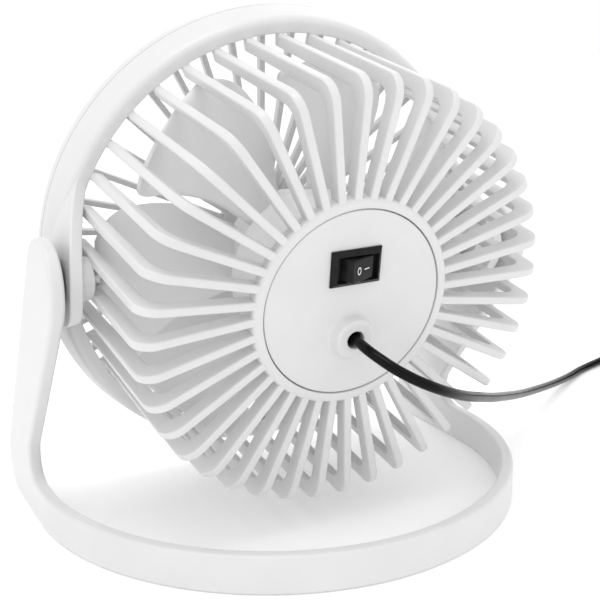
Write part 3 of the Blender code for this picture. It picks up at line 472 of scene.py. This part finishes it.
def smooth_line(route, spacing):
    """Evenly spaced points on a smooth curve through the route's own points."""
    knots = [Vector(point) for point in route]
    ends = [2 * knots[0] - knots[1]] + knots + [2 * knots[-1] - knots[-2]]
    fine = []
    for a, b, c, d in zip(ends, ends[1:], ends[2:], ends[3:]):
        for i in range(16):
            t = i / 16
            fine.append(0.5 * (2 * b + (c - a) * t + (2 * a - 5 * b + 4 * c - d) * t * t
                               + (3 * b - a - 3 * c + d) * t ** 3))
    fine.append(knots[-1])
    length = sum((b - a).length for a, b in zip(fine, fine[1:]))
    count = max(2, round(length / spacing))
    wanted, run, picked = [length * i / count for i in range(count)], 0.0, []
    for a, b in zip(fine, fine[1:]):
        step = (b - a).length
        while len(picked) < len(wanted) and wanted[len(picked)] <= run + step:
            picked.append(a.lerp(b, (wanted[len(picked)] - run) / step))
        run += step
    return picked + [knots[-1]]


plug_way = Vector((math.cos(PLUG_HEADING), math.sin(PLUG_HEADING), 0))
lead_knots = [Vector(point) * MM for point in LEAD_ROUTE] + coil_line()
lead_knots[-1] = PLUG_START
lead_knots.append(PLUG_START + plug_way * 3 * MM)
lead_line = smooth_line(lead_knots, 2.2 * MM)
lead_length = sum((b - a).length for a, b in zip(lead_line, lead_line[1:]))
print("lead is", round(lead_length, 3), "m long")

# %% The lead's tube
def tube(name, line, radius, resolution=4):
    """A round tube along a line of points, as a mesh with its ends closed."""
    curve = bpy.data.curves.new(name, "CURVE")
    curve.dimensions = "3D"
    curve.bevel_depth = radius
    curve.bevel_resolution = resolution
    curve.use_fill_caps = True
    spline = curve.splines.new("POLY")
    spline.points.add(len(line) - 1)
    for spot, point in zip(spline.points, line):
        spot.co = (*point, 1)
    draft = bpy.data.objects.new(name + "_draft", curve)
    bpy.context.scene.collection.objects.link(draft)
    mesh = bpy.data.meshes.new_from_object(
        draft.evaluated_get(bpy.context.evaluated_depsgraph_get()))
    bpy.data.objects.remove(draft)
    bpy.data.curves.remove(curve)
    shape = bmesh.new()
    shape.from_mesh(mesh)
    bpy.data.meshes.remove(mesh)
    return shape

lead_shape = tube("lead", lead_line, LEAD_RADIUS)
lead = make_piece("lead", lead_shape, cord_jacket, None,
                  stands_for=("cord", "cord_coil"), corner=60)
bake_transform(lead)

# %% [markdown]
# ## The stand
# The stand is one moulded hoop: two flat arms that widen at the pivot, a tight bend, and a level
# base that runs round as half a circle. It could be a curve with a flat section, but the arms
# change width, so the arm's side view is drawn once, given the band's thickness on both sides, and
# the two arms are joined by spinning the end of one half a turn until it meets the other.

# %% The arm's side view
BAND_INSIDE, BAND_OUTSIDE = 72.3 * MM, 76.2 * MM
BASE_ARC_Y = -18.9 * MM
BASE_HALF_LENGTH, BASE_HEIGHT = 57.3 * MM, 11.0 * MM
BEND_OUTER, BEND_INNER = 10.0 * MM, 6.8 * MM
ARM_RADIUS, ARM_FOOT = 13.3 * MM, 18.0 * MM
ARM_LEAN = math.radians(34)
ARM_TOP = Vector((PIVOT.y, PIVOT.z - 1.3 * MM))


def arc(centre, radius, start, stop, steps):
    return [tuple(centre + radius * Vector((math.cos(turn), math.sin(turn))))
            for turn in (start + (stop - start) * i / steps for i in range(steps + 1))]


def arm_outline():
    foot = Vector((-BASE_HALF_LENGTH + BEND_OUTER, BEND_OUTER))
    along = (ARM_TOP - foot).normalized()
    narrowing = math.asin((ARM_RADIUS - BEND_OUTER) / (ARM_TOP - foot).length)
    front = Matrix.Rotation(math.pi / 2 - narrowing, 2) @ along
    rear = Vector((math.cos(ARM_LEAN), -math.sin(ARM_LEAN)))
    front_turn = math.atan2(front.y, front.x)
    outline = [(BASE_ARC_Y, 0.0)]
    outline += arc(foot, BEND_OUTER, -math.pi / 2, front_turn - TAU, 20)
    outline += arc(ARM_TOP, ARM_RADIUS, front_turn, math.atan2(rear.y, rear.x), 36)
    rear_top = ARM_TOP + rear * ARM_RADIUS
    slope = (foot + front * (BEND_OUTER - ARM_FOOT) - rear_top).normalized()
    corner = rear_top + slope * ((BASE_HEIGHT - rear_top.y) / slope.y)
    outline += rounded(rear_top, corner, (BASE_ARC_Y, BASE_HEIGHT), BEND_INNER, 16)
    return outline + [(BASE_ARC_Y, BASE_HEIGHT)]

# %% Both arms and the base, with soft edges
def stand_shape():
    shape = bmesh.new()
    for side in (1, -1):
        add(shape, slab(arm_outline(), side * BAND_INSIDE, side * BAND_OUTSIDE, "X"))
    ends = [face for face in shape.faces
            if all(abs(vert.co.y - BASE_ARC_Y) < 1e-6 for vert in face.verts)]
    start = [face for face in ends if face.calc_center_median().x > 0]
    edges = list(start[0].edges)
    bmesh.ops.delete(shape, geom=ends, context="FACES_ONLY")
    geometry = edges + list({vert for edge in edges for vert in edge.verts})
    bmesh.ops.spin(shape, geom=geometry, cent=(0, BASE_ARC_Y, 0), axis=(0, 0, 1),
                   angle=math.pi, steps=96)
    bmesh.ops.remove_doubles(shape, verts=shape.verts, dist=1e-6)
    bmesh.ops.recalc_face_normals(shape, faces=shape.faces)
    return soften(shape, 1.0 * MM, 4)

make_piece("stand", stand_shape(), white_plastic, "stand",
           stands_for=("stand_hoop",), weigh=True)

# %% [markdown]
# ## The rear cage
# The cage is one moulding: a ring, forty bent bars and a hub. Each bar leaves the ring, runs back,
# turns a soft corner and comes in to the hub. A bar is a flat outline with thickness, and its
# edges are rounded nearly to the middle, because real bars are drafted and rounded so that they
# leave the mould. The outline is softened once, and the finished bar is copied round the axis.

# %% Sizes of the cage, in the head's own level frame
RING_RADIUS, RING_OPENING, RING_DRAFT = 70.0 * MM, 63.5 * MM, 2.2 * MM
RING_REAR, RING_FRONT, RING_WALL = -11.2 * MM, -21.2 * MM, 2.2 * MM
CAGE_REAR, HUB_FACE = 38.4 * MM, 35.9 * MM
BAR_COUNT, FIRST_BAR, BAR_WIDTH = 40, math.radians(5.1), 2.4 * MM
BAR_DEPTH, BAR_SIDE_DEPTH = 5.2 * MM, 4.3 * MM
BAR_BEND_RADIUS = 62.0 * MM
HUB_RADIUS, RIM_WIDTH, RIM_DEPTH = 30.0 * MM, 3.0 * MM, 3.6 * MM
CUP_RADIUS, CUP_FRONT = 24.0 * MM, 6.9 * MM
LUG_FACE, LUG_SHELL, LUG_REACH = 70.2 * MM, 3.6 * MM, 9.6 * MM
LUG_LOW, LUG_HIGH, LUG_STEPS = math.radians(13.5), math.radians(24), 48
LUG_ROUNDNESS, LUG_END_RADIUS = 2.4, RING_RADIUS - RING_DRAFT - 0.9 * MM
PIVOT_BOSS_RADIUS, PIVOT_BOSS_LENGTH, PIVOT_BOSS_AT = 6.0 * MM, 6.2 * MM, 65.3 * MM


def bar_outline():
    """One bar of the cage, as (radius, place along the axis)."""
    root, leaf = RING_OPENING + 1.2 * MM, RING_REAR - 1.9 * MM
    hub_outer = (HUB_RADIUS - 1.4 * MM, HUB_FACE - 0.4 * MM)
    hub_inner = (HUB_RADIUS - 1.4 * MM, HUB_FACE - BAR_DEPTH)
    at_ring = (RING_OPENING - 0.2 * MM, RING_REAR)
    inner_bend = (BAR_BEND_RADIUS - BAR_SIDE_DEPTH, CAGE_REAR - BAR_DEPTH)
    inner_ring = (RING_OPENING - BAR_SIDE_DEPTH + 0.6 * MM, leaf)
    outline = [(root, RING_REAR - 0.8 * MM), at_ring]
    outline += rounded(at_ring, (BAR_BEND_RADIUS, CAGE_REAR), hub_outer, 5.6 * MM, 8)
    outline += [hub_outer, hub_inner]
    outline += rounded(hub_inner, inner_bend, inner_ring, 3.4 * MM, 6)
    return outline + [inner_ring, (root, leaf)]


def around(shape, count, first):
    """Copies of one shape round the head's axis."""
    whole = bmesh.new()
    mesh = bpy.data.meshes.new("spare")
    shape.to_mesh(mesh)
    shape.free()
    for i in range(count):
        one = bmesh.new()
        one.from_mesh(mesh)
        add(whole, one, Matrix.Rotation(-(first + TAU * i / count), 4, "Y"))
    bpy.data.meshes.remove(mesh)
    return whole

# %% Ring, hub and bars
def ring_shape():
    corner = (RING_RADIUS - RING_DRAFT, RING_REAR)
    outline = [(RING_OPENING, RING_REAR)]
    outline += rounded(outline[0], corner, (RING_RADIUS, RING_FRONT), 2.4 * MM, 8)
    outline += [(RING_RADIUS, RING_FRONT), (RING_RADIUS - RING_WALL, RING_FRONT),
                (RING_RADIUS - RING_DRAFT - RING_WALL, RING_REAR - RING_WALL),
                (RING_OPENING, RING_REAR - RING_WALL)]
    return soften(turned(outline, 160), 0.35 * MM, 2, 50)


def hub_shape():
    inner, seat = HUB_RADIUS - RIM_WIDTH, HUB_FACE - 2.6 * MM
    outline = [(inner, HUB_FACE - 0.35 * MM), (inner + 0.1 * MM, HUB_FACE - 0.1 * MM),
               (inner + 0.35 * MM, HUB_FACE)]
    outline += rounded((inner + 0.35 * MM, HUB_FACE), (HUB_RADIUS, HUB_FACE),
                       (HUB_RADIUS, HUB_FACE - RIM_DEPTH), 1.5 * MM, 8)
    outline += [(HUB_RADIUS, HUB_FACE - RIM_DEPTH), (inner, HUB_FACE - RIM_DEPTH),
                (CUP_RADIUS, HUB_FACE - RIM_DEPTH - 2.0 * MM)]
    outline += rounded((CUP_RADIUS, HUB_FACE - RIM_DEPTH - 2.0 * MM), (CUP_RADIUS, CUP_FRONT),
                       (4.6 * MM, CUP_FRONT), 1.8 * MM, 6)
    outline += [(4.6 * MM, CUP_FRONT), (4.6 * MM, CUP_FRONT + 2.0 * MM),
                (CUP_RADIUS - 2.0 * MM, CUP_FRONT + 2.0 * MM), (CUP_RADIUS - 2.0 * MM, seat),
                (inner, seat)]
    return turned(outline, 120)


def lug_shape(side):
    """The ring's wall grown to the rear round the pivot, flowing back into the ring above."""
    shape = bmesh.new()
    section = [(LUG_FACE - LUG_SHELL, 0), (LUG_FACE, 0), (LUG_FACE, 1), (LUG_FACE - LUG_SHELL, 1)]
    corners = [shape.verts.new((radius * math.cos(LUG_LOW), rear, -radius * math.sin(LUG_LOW)))
               for radius, rear in section]
    face = shape.faces.new(corners)
    bmesh.ops.spin(shape, geom=[face, *face.edges, *corners], cent=(0, 0, 0), axis=(0, -1, 0),
                   angle=LUG_LOW + LUG_HIGH, steps=LUG_STEPS)
    for vert in shape.verts:
        turn = math.atan2(vert.co.z, vert.co.x)
        low = min(1.0, max(0.0, -turn / LUG_LOW))
        high = min(1.0, max(0.0, turn / LUG_HIGH))
        rise = math.sqrt(1 - low ** LUG_ROUNDNESS) * (1 - ease(high))
        base = RING_REAR - RING_WALL / 2
        vert.co.y = base + (LUG_REACH - base) * rise if vert.co.y > 0.5 else RING_REAR - RING_WALL
        sink = 1 + (LUG_END_RADIUS / LUG_FACE - 1) * ease(high)
        vert.co.x, vert.co.z = vert.co.x * sink, vert.co.z * sink
    bmesh.ops.remove_doubles(shape, verts=shape.verts, dist=1e-6)
    bmesh.ops.recalc_face_normals(shape, faces=shape.faces)
    soften(shape, 1.1 * MM, 4, 60)
    boss = bmesh.new()
    bmesh.ops.create_cone(boss, cap_ends=True, segments=48, radius1=PIVOT_BOSS_RADIUS,
                          radius2=PIVOT_BOSS_RADIUS, depth=PIVOT_BOSS_LENGTH,
                          matrix=Matrix.Translation((PIVOT_BOSS_AT, 0, 0))
                          @ Matrix.Rotation(math.pi / 2, 4, "Y"))
    add(shape, soften(boss, 0.5 * MM, 3, 60))
    if side < 0:
        bmesh.ops.scale(shape, vec=(-1, 1, 1), verts=shape.verts)
        bmesh.ops.reverse_faces(shape, faces=shape.faces)
    return shape


cage = ring_shape()
add(cage, hub_shape())
add(cage, around(soften(slab(bar_outline(), -BAR_WIDTH / 2, BAR_WIDTH / 2), 0.95 * MM, 3),
                 BAR_COUNT, FIRST_BAR))
for side in (1, -1):
    add(cage, lug_shape(side))
make_piece("rear_cage", cage, white_plastic, "head", HEAD,
           ("rear_housing",), corner=45, weigh=True)

# %% [markdown]
# ## The front grille
# The front is a second moulding that snaps on the ring: a rim, forty straight bars and a cap. It is
# made as the cage is, with a bar that is softened once and copied round.

# %% Front grille
GRILLE_REAR, GRILLE_FRONT, CAP_RADIUS = -21.5 * MM, -25.5 * MM, 15.0 * MM

rim = [(RING_RADIUS, GRILLE_REAR), (RING_RADIUS - 4 * MM, GRILLE_REAR),
       (RING_RADIUS - 4 * MM, GRILLE_FRONT)]
rim += rounded((RING_RADIUS - 4 * MM, GRILLE_FRONT), (RING_RADIUS, GRILLE_FRONT),
               (RING_RADIUS, GRILLE_REAR), 1.8 * MM, 8)
grille = soften(turned(rim, 160), 0.35 * MM, 2, 50)
bar = [(CAP_RADIUS - 1 * MM, GRILLE_FRONT + 0.5 * MM),
       (RING_RADIUS - 3.5 * MM, GRILLE_FRONT + 0.5 * MM),
       (RING_RADIUS - 3.5 * MM, GRILLE_REAR - 0.4 * MM),
       (CAP_RADIUS - 1 * MM, GRILLE_REAR - 0.4 * MM)]
add(grille, around(soften(slab(bar, -0.8 * MM, 0.8 * MM), 0.6 * MM, 3), 40, TAU / 80))
cap = [(0, GRILLE_FRONT), (CAP_RADIUS - 3.2 * MM, GRILLE_FRONT),
       (CAP_RADIUS - 2.9 * MM, GRILLE_FRONT + 0.35 * MM),
       (CAP_RADIUS - 2.4 * MM, GRILLE_FRONT + 0.35 * MM),
       (CAP_RADIUS - 2.1 * MM, GRILLE_FRONT)]
cap += rounded((CAP_RADIUS - 2.1 * MM, GRILLE_FRONT), (CAP_RADIUS, GRILLE_FRONT),
               (CAP_RADIUS, GRILLE_REAR), 0.8 * MM, 5)
cap += [(CAP_RADIUS, GRILLE_REAR), (0, GRILLE_REAR)]
add(grille, turned(cap, 96, closed=False))
make_piece("front_guard", grille, white_plastic, "head", HEAD,
           ("front_grille",), corner=45, weigh=True)

# %% [markdown]
# ## The cover plate and the cable boss
# The plate sits a little below the rim, so a fine dark line runs round it. The boss is a low
# turned spout that flows into the plate. The plate needs real openings for the switch and the
# lead, so a Boolean takes them out, and the boss is turned with its own bore.

# %% Cover plate with its boss
PLATE_REAR, PLATE_FRONT, PLATE_RADIUS = 35.6 * MM, 33.6 * MM, 26.7 * MM
BOSS_Z, BOSS_HEIGHT, BORE = -9.4 * MM, 3.3 * MM, 2.5 * MM
SWITCH_X, SWITCH_Z = 0.9 * MM, 11.0 * MM


def cylinder(radius, low, high, x, z, segments=64):
    shape = bmesh.new()
    bmesh.ops.create_cone(shape, cap_ends=True, segments=segments, radius1=radius,
                          radius2=radius, depth=high - low,
                          matrix=Matrix.Translation((x, (low + high) / 2, z))
                          @ Matrix.Rotation(math.pi / 2, 4, "X"))
    return shape


disc = [(0, PLATE_FRONT), (PLATE_RADIUS, PLATE_FRONT)]
disc += rounded((PLATE_RADIUS, PLATE_FRONT), (PLATE_RADIUS, PLATE_REAR), (0, PLATE_REAR),
                0.35 * MM, 4)
disc += [(0, PLATE_REAR)]
window = box((SWITCH_X - 6.6 * MM, PLATE_FRONT - 3 * MM, SWITCH_Z - 4.3 * MM),
             (SWITCH_X + 6.6 * MM, PLATE_REAR + 3 * MM, SWITCH_Z + 4.3 * MM))
plate = cut(turned(disc, 160, closed=False),
            cylinder(4.0 * MM, PLATE_FRONT - 3 * MM, PLATE_REAR + 3 * MM, 0, BOSS_Z), window)
face = PLATE_REAR + BOSS_HEIGHT
spout = [(BORE, PLATE_FRONT)]
spout += rounded((BORE, PLATE_FRONT), (BORE, face), (5.0 * MM, face), 0.4 * MM, 4)
spout += rounded((BORE, face), (5.6 * MM, face), (6.6 * MM, PLATE_REAR), 1.0 * MM, 6)
spout += rounded((5.6 * MM, face), (6.6 * MM, PLATE_REAR), (9.4 * MM, PLATE_REAR), 1.4 * MM, 6)
spout += [(8.6 * MM, PLATE_REAR + 0.01 * MM), (8.6 * MM, PLATE_REAR - 0.4 * MM),
          (4.2 * MM, PLATE_REAR - 0.4 * MM), (4.2 * MM, PLATE_FRONT)]
add(plate, turned(spout, 72), Matrix.Translation((0, 0, BOSS_Z)))
make_piece("cover_plate", plate, white_plastic, "head", HEAD,
           ("rear_cover",), corner=35, weigh=True)

# %% [markdown]
# ## The rocker switch
# A snap-in rocker has a bezel that slopes outwards from its opening, and a lever with a ridge off
# its middle. The marks are printed on the lever's long face: a round zero and a short bar. They
# are raised by a few hundredths of a millimetre, as thick paint would be, so that they never
# flicker against the face under them.

# %% Bezel and its opening
SWITCH_TURN = Matrix.Rotation(math.radians(2.6), 4, "Y")
SWITCH_PLACE = Matrix.Translation((SWITCH_X, 0, SWITCH_Z)) @ SWITCH_TURN
HALF_WIDTH, HALF_HEIGHT, PROUD = 7.6 * MM, 5.1 * MM, 1.8 * MM
OPEN_WIDTH, OPEN_HEIGHT = 6.0 * MM, 3.5 * MM

bezel = box((-HALF_WIDTH, PLATE_REAR + 0.02 * MM, -HALF_HEIGHT),
            (HALF_WIDTH, PLATE_REAR + PROUD, HALF_HEIGHT))
top_edges = [edge for edge in bezel.edges
             if all(vert.co.y > PLATE_REAR + PROUD - 1e-6 for vert in edge.verts)]
bmesh.ops.bevel(bezel, geom=top_edges, offset=1.25 * MM, segments=1, profile=0.5,
                affect="EDGES", material=-1, clamp_overlap=False)
top = max(bezel.faces, key=lambda face: face.calc_center_median().y)
bmesh.ops.inset_individual(bezel, faces=[top], thickness=0.30 * MM)
sunk = bmesh.ops.extrude_face_region(bezel, geom=[top])
bmesh.ops.translate(bezel, vec=(0, -7.0 * MM, 0),
                    verts=[v for v in sunk["geom"] if isinstance(v, bmesh.types.BMVert)])
bmesh.ops.delete(bezel, geom=[top], context="FACES_KEEP_BOUNDARY")
soften(bezel, 0.14 * MM, 2, 30)
case = box((-6.3 * MM, 27.1 * MM, -4.0 * MM), (6.3 * MM, PLATE_REAR - 0.1 * MM, 4.0 * MM))
add(bezel, soften(case, 0.3 * MM, 2))
make_piece("switch_bezel", bezel, bezel_black, "head", HEAD @ SWITCH_PLACE,
           ("switch_body",), corner=35, weigh=True)

# %% Lever and its marks
RIDGE = Vector((2.9, 4.1)) * MM            # (along the lever, above the plate)
LOW_END = Vector((-4.6, 1.5)) * MM
LEVER_PLACE = HEAD @ Matrix.Translation((SWITCH_X, PLATE_REAR, SWITCH_Z)) @ SWITCH_TURN
lever = [(5.0 * MM, -0.6 * MM), tuple(RIDGE), tuple(LOW_END), (-5.0 * MM, 0.6 * MM),
         (-4.4 * MM, -2.4 * MM), (0, -4.2 * MM), (4.4 * MM, -3.2 * MM)]
lever_shape = soften(slab(lever, -3.2 * MM, 3.2 * MM), 0.30 * MM, 3, 20)
make_piece("switch_lever", lever_shape, rocker_black, "rocker", LEVER_PLACE,
           ("switch_rocker",), corner=30, weigh=True)

slope = (LOW_END - RIDGE).normalized()
outward = Vector((slope.y, -slope.x))
if outward.y < 0:
    outward.negate()


def on_lever(share):
    """A frame on the lever's long face: X along it towards the low end, Z out of it."""
    spot = RIDGE.lerp(LOW_END, share) + outward * 0.01 * MM
    along, out = Vector((slope.x, slope.y, 0)), Vector((outward.x, outward.y, 0))
    up = out.cross(along)
    frame_there = Matrix((along, up, out)).transposed().to_4x4()
    return LEVER_PLACE @ Matrix.Translation((spot.x, spot.y, 0)) @ frame_there


zero = bmesh.new()
bmesh.ops.create_circle(zero, cap_ends=False, segments=40, radius=0.94 * MM)
outer_loop = list(zero.edges)
inner = bmesh.ops.create_circle(zero, cap_ends=False, segments=40, radius=0.68 * MM)
inner_loop = list({edge for vert in inner["verts"] for edge in vert.link_edges})
bmesh.ops.bridge_loops(zero, edges=outer_loop + inner_loop)
bmesh.ops.scale(zero, vec=(0.72, 1.18, 1), verts=zero.verts)
bmesh.ops.solidify(zero, geom=list(zero.faces), thickness=0.05 * MM)
bar_mark = soften(box((-0.95 * MM, -0.15 * MM, -0.03 * MM), (0.95 * MM, 0.15 * MM, 0.03 * MM)),
                  0.02 * MM, 1)
bmesh.ops.transform(bar_mark, matrix=on_lever(0.68), verts=bar_mark.verts)
bmesh.ops.transform(zero, matrix=on_lever(0.30), verts=zero.verts)
add(zero, bar_mark)
make_piece("switch_marks", zero, legend_white, "rocker")

# %% [markdown]
# ## The impeller
# Seven wide blades grow out of a cup-shaped hub. A blade is a thin sheet that twists from root to
# tip. It starts as a flat grid; each point of the grid is then carried to its radius, angle and
# level, so the sheet stays evenly divided, and solidify gives it thickness.

# %% Hub and blades
IMPELLER_REAR, IMPELLER_FRONT, IMPELLER_HUB = 5.7 * MM, -11.3 * MM, 19.0 * MM
BLADE_COUNT, BLADE_TIP, BLADE_PITCH = 7, 58.2 * MM, 14.0 * MM
BLADE_SPAN, BLADE_START, BLADE_SWEEP = math.radians(41), math.radians(36), math.radians(-12.5)
BLADE_THICKNESS, BLADE_FLATTENS, BLADE_WIDENS = 1.5 * MM, 0.15, 0.07
TIP_LENGTH, TIP_ROUNDING = 0.15, 0.36         # shares of the blade's length and of its width
SWEEP_FROM, SWEEP_POWER = 0.3, 1.7            # where along the blade it starts to curve, and how


def blade_shape(start):
    shape = bmesh.new()
    bmesh.ops.create_grid(shape, x_segments=36, y_segments=20, size=0.5)
    root = IMPELLER_HUB - 0.8 * MM
    middle = (IMPELLER_REAR + IMPELLER_FRONT) / 2
    for vert in shape.verts:
        out, share = vert.co.x + 0.5, vert.co.y + 0.5
        corner = min(1.0, max(0.0, (out - 1 + TIP_LENGTH) / TIP_LENGTH))
        narrow = TIP_ROUNDING * (1 - math.sqrt(1 - corner ** 2)) - BLADE_WIDENS * out
        radius = root + (BLADE_TIP - root) * out
        turn = (start + BLADE_SPAN * (0.5 + (share - 0.5) * (1 - narrow))
                + BLADE_SWEEP * max(0.0, (out - SWEEP_FROM) / (1 - SWEEP_FROM)) ** SWEEP_POWER)
        level = middle + BLADE_PITCH * (1 - BLADE_FLATTENS * out) * (0.5 - share)
        vert.co = (radius * math.cos(turn), level + 0.8 * MM, radius * math.sin(turn))
    bmesh.ops.recalc_face_normals(shape, faces=shape.faces)
    bmesh.ops.solidify(shape, geom=list(shape.faces), thickness=BLADE_THICKNESS)
    bmesh.ops.recalc_face_normals(shape, faces=shape.faces)
    return soften(shape, 0.45 * MM, 2, 60)


skin = IMPELLER_FRONT + 1.2 * MM
hub_cup = [(1.3 * MM, skin + 1.6 * MM), (1.3 * MM, IMPELLER_REAR - 4 * MM),
           (4 * MM, IMPELLER_REAR - 4 * MM), (4 * MM, skin + 1.6 * MM),
           (IMPELLER_HUB - 4 * MM, skin + 1.6 * MM),
           (IMPELLER_HUB - 1.6 * MM, IMPELLER_FRONT + 5 * MM),
           (IMPELLER_HUB - 1.6 * MM, IMPELLER_REAR), (IMPELLER_HUB, IMPELLER_REAR)]
hub_cup += rounded((IMPELLER_HUB, IMPELLER_REAR), (IMPELLER_HUB, IMPELLER_FRONT),
                   (0, IMPELLER_FRONT - 0.6 * MM), 5 * MM, 10)
hub_cup += [(0, IMPELLER_FRONT - 0.6 * MM), (0, skin), (1.3 * MM, skin)]
impeller = turned(hub_cup, 96)
for i in range(BLADE_COUNT):
    add(impeller, blade_shape(BLADE_START + TAU * i / BLADE_COUNT))
make_piece("impeller_wheel", impeller, impeller_plastic, "rotor", HEAD,
           ("impeller",), corner=45)

# %% [markdown]
# ## The tie and the plug
# A rubber tie holds the coil, and the lead ends in a flat moulded plug with a metal shell. The
# plug's grip has a few grooves, the shell has its two latch windows, and the insert carries four
# contacts. Grooves and windows are cut out, because their edges catch light as real ones do.

# %% Coil tie
TIE_PLACE = Matrix.Translation(COIL_CENTRE) @ Matrix.Rotation(math.radians(20), 4, "Z")
tie_low, tie_high, tie_top = 12.2 * MM, 23.8 * MM, 11.6 * MM
strap = box((tie_low, -2 * MM, 0), (tie_high, 2 * MM, tie_top))
strap = cut(soften(strap, 1.3 * MM, 4),
            soften(box((tie_low + 0.8 * MM, -4 * MM, 0.8 * MM),
                       (tie_high - 0.8 * MM, 4 * MM, tie_top - 0.8 * MM)), 0.9 * MM, 3))
make_piece("lead_tie", strap, tie_rubber, "stand", TIE_PLACE, ("coil_tie",))

# %% Plug grip
PLUG_PLACE = (Matrix.Translation((PLUG_START.x, PLUG_START.y, 0))
              @ Matrix.Rotation(PLUG_HEADING, 4, "Z"))
grip_half, grip_top, grip_start, grip_end = 7.8 * MM, 8.0 * MM, 8.0 * MM, 32.0 * MM
grip = soften(box((grip_start + 0.4 * MM, -grip_half, 0), (grip_end, grip_half, grip_top)),
              1.5 * MM, 4)
grooves = []
for i in range(4):
    at = grip_start + (4.5 + 2.6 * i) * MM
    for side in (1, -1):
        edge = side * grip_half
        low, high = sorted((edge - side * 0.45 * MM, edge + side * 2 * MM))
        grooves.append(box((at, low, -1 * MM), (at + 1.1 * MM, high, grip_top + 1 * MM)))
grip = cut(grip, *grooves)
neck = bmesh.new()
for i in range(3):
    ring = bmesh.new()
    radius = (2.5 + 0.35 * i) * MM
    bmesh.ops.create_cone(ring, cap_ends=True, segments=40, radius1=radius,
                          radius2=radius + 0.2 * MM, depth=2.2 * MM,
                          matrix=Matrix.Translation(((1.2 + 2.9 * i) * MM, 0, 4 * MM))
                          @ Matrix.Rotation(math.pi / 2, 4, "Y"))
    add(neck, soften(ring, 0.35 * MM, 3))
core = bmesh.new()
bmesh.ops.create_cone(core, cap_ends=True, segments=40, radius1=2.1 * MM, radius2=2.6 * MM,
                      depth=9.4 * MM, matrix=Matrix.Translation((4.8 * MM, 0, 4 * MM))
                      @ Matrix.Rotation(math.pi / 2, 4, "Y"))
add(neck, core)
add(grip, neck)
plug_grip = make_piece("plug_grip", grip, plug_rubber, "stand", PLUG_PLACE,
                       ("usb_plug_body",), weigh=True)

# %% Plug shell and insert
shell_start, shell_end = 32.3 * MM, 50.8 * MM
shell = soften(box((shell_start, -6 * MM, 1.75 * MM), (shell_end, 6 * MM, 6.25 * MM)),
               0.3 * MM, 2)
hollow = box((shell_start + 0.35 * MM, -5.65 * MM, 2.1 * MM),
             (shell_end + 2 * MM, 5.65 * MM, 5.9 * MM))
windows = [box((shell_end - 8.4 * MM, side * 3.0 * MM - 1.1 * MM, 0),
               (shell_end - 5.9 * MM, side * 3.0 * MM + 1.1 * MM, 10 * MM)) for side in (1, -1)]
make_piece("plug_shell", cut(shell, hollow, *windows), plated_steel, "stand",
           PLUG_PLACE, ("usb_plug_shell",), corner=30)
tongue = soften(box((shell_start + 0.7 * MM, -5.3 * MM, 2.4 * MM),
                    (shell_end - 0.6 * MM, 5.3 * MM, 4.0 * MM)), 0.15 * MM, 2)
make_piece("plug_insert", tongue, plug_insert, "stand", PLUG_PLACE,
           ("usb_plug_tongue",))
contacts = bmesh.new()
for i in range(4):
    across = (i - 1.5) * 2.4 * MM
    add(contacts, soften(box((shell_end - 8.6 * MM, across - 0.5 * MM, 3.95 * MM),
                             (shell_end - 1.6 * MM, across + 0.5 * MM, 4.12 * MM)),
                         0.05 * MM, 1))
make_piece("plug_contacts", contacts, brass, "stand", PLUG_PLACE)

# %% [markdown]
# ## The parts that keep their frame shape
# Pins, washers, the motor and its wires are plain turned or pressed parts, mostly out of sight.
# Their frame shapes are right as they are, and they only get their real finishes.

# %% Finishes for the kept parts
KEPT = {
    "pivot_pin_left": plated_steel, "pivot_pin_right": plated_steel,
    "friction_washer_left": washer_rubber, "friction_washer_right": washer_rubber,
    "cord_bushing": plain_black, "motor_can": plated_steel, "motor_end_cap": plain_black,
    "motor_bush_front": brass, "motor_bush_rear": brass, "motor_screw_1": plated_steel,
    "motor_screw_2": plated_steel, "motor_shaft": plated_steel, "motor_rotor": rotor_iron,
    "motor_lead_red": red_wire, "motor_lead_black": black_wire,
    "switch_terminal_1": brass, "switch_terminal_2": brass,
}
for name, finish in KEPT.items():
    for spot in frame["nodes"][name].material_slots:
        spot.material = finish
print("kept parts:", len(KEPT))

# %% [markdown]
# ## The floor
# A plain pale floor that reaches far beyond the view carries the soft contact shadow. It is a
# stage piece and not a part of the object.

# %% Floor
floor_finish = Finish("floor_paper", Roughness=0.9, Specular_IOR_Level=0.1,
                      Emission_Strength=0.12)
paper = floor_finish.speckle(30 * MM, detail=2)
floor_finish.feed("Base Color", floor_finish.colour(paper, (0.96, 0.96, 0.96),
                                                    (0.975, 0.975, 0.975)))
floor_shape = bmesh.new()
bmesh.ops.create_grid(floor_shape, x_segments=1, y_segments=1, size=60.0)
floor_mesh = bpy.data.meshes.new("floor")
floor_shape.to_mesh(floor_mesh)
floor_shape.free()
floor_mesh.materials.append(floor_finish.material)
floor = bpy.data.objects.new("floor", floor_mesh)
bpy.context.scene.collection.objects.link(floor)
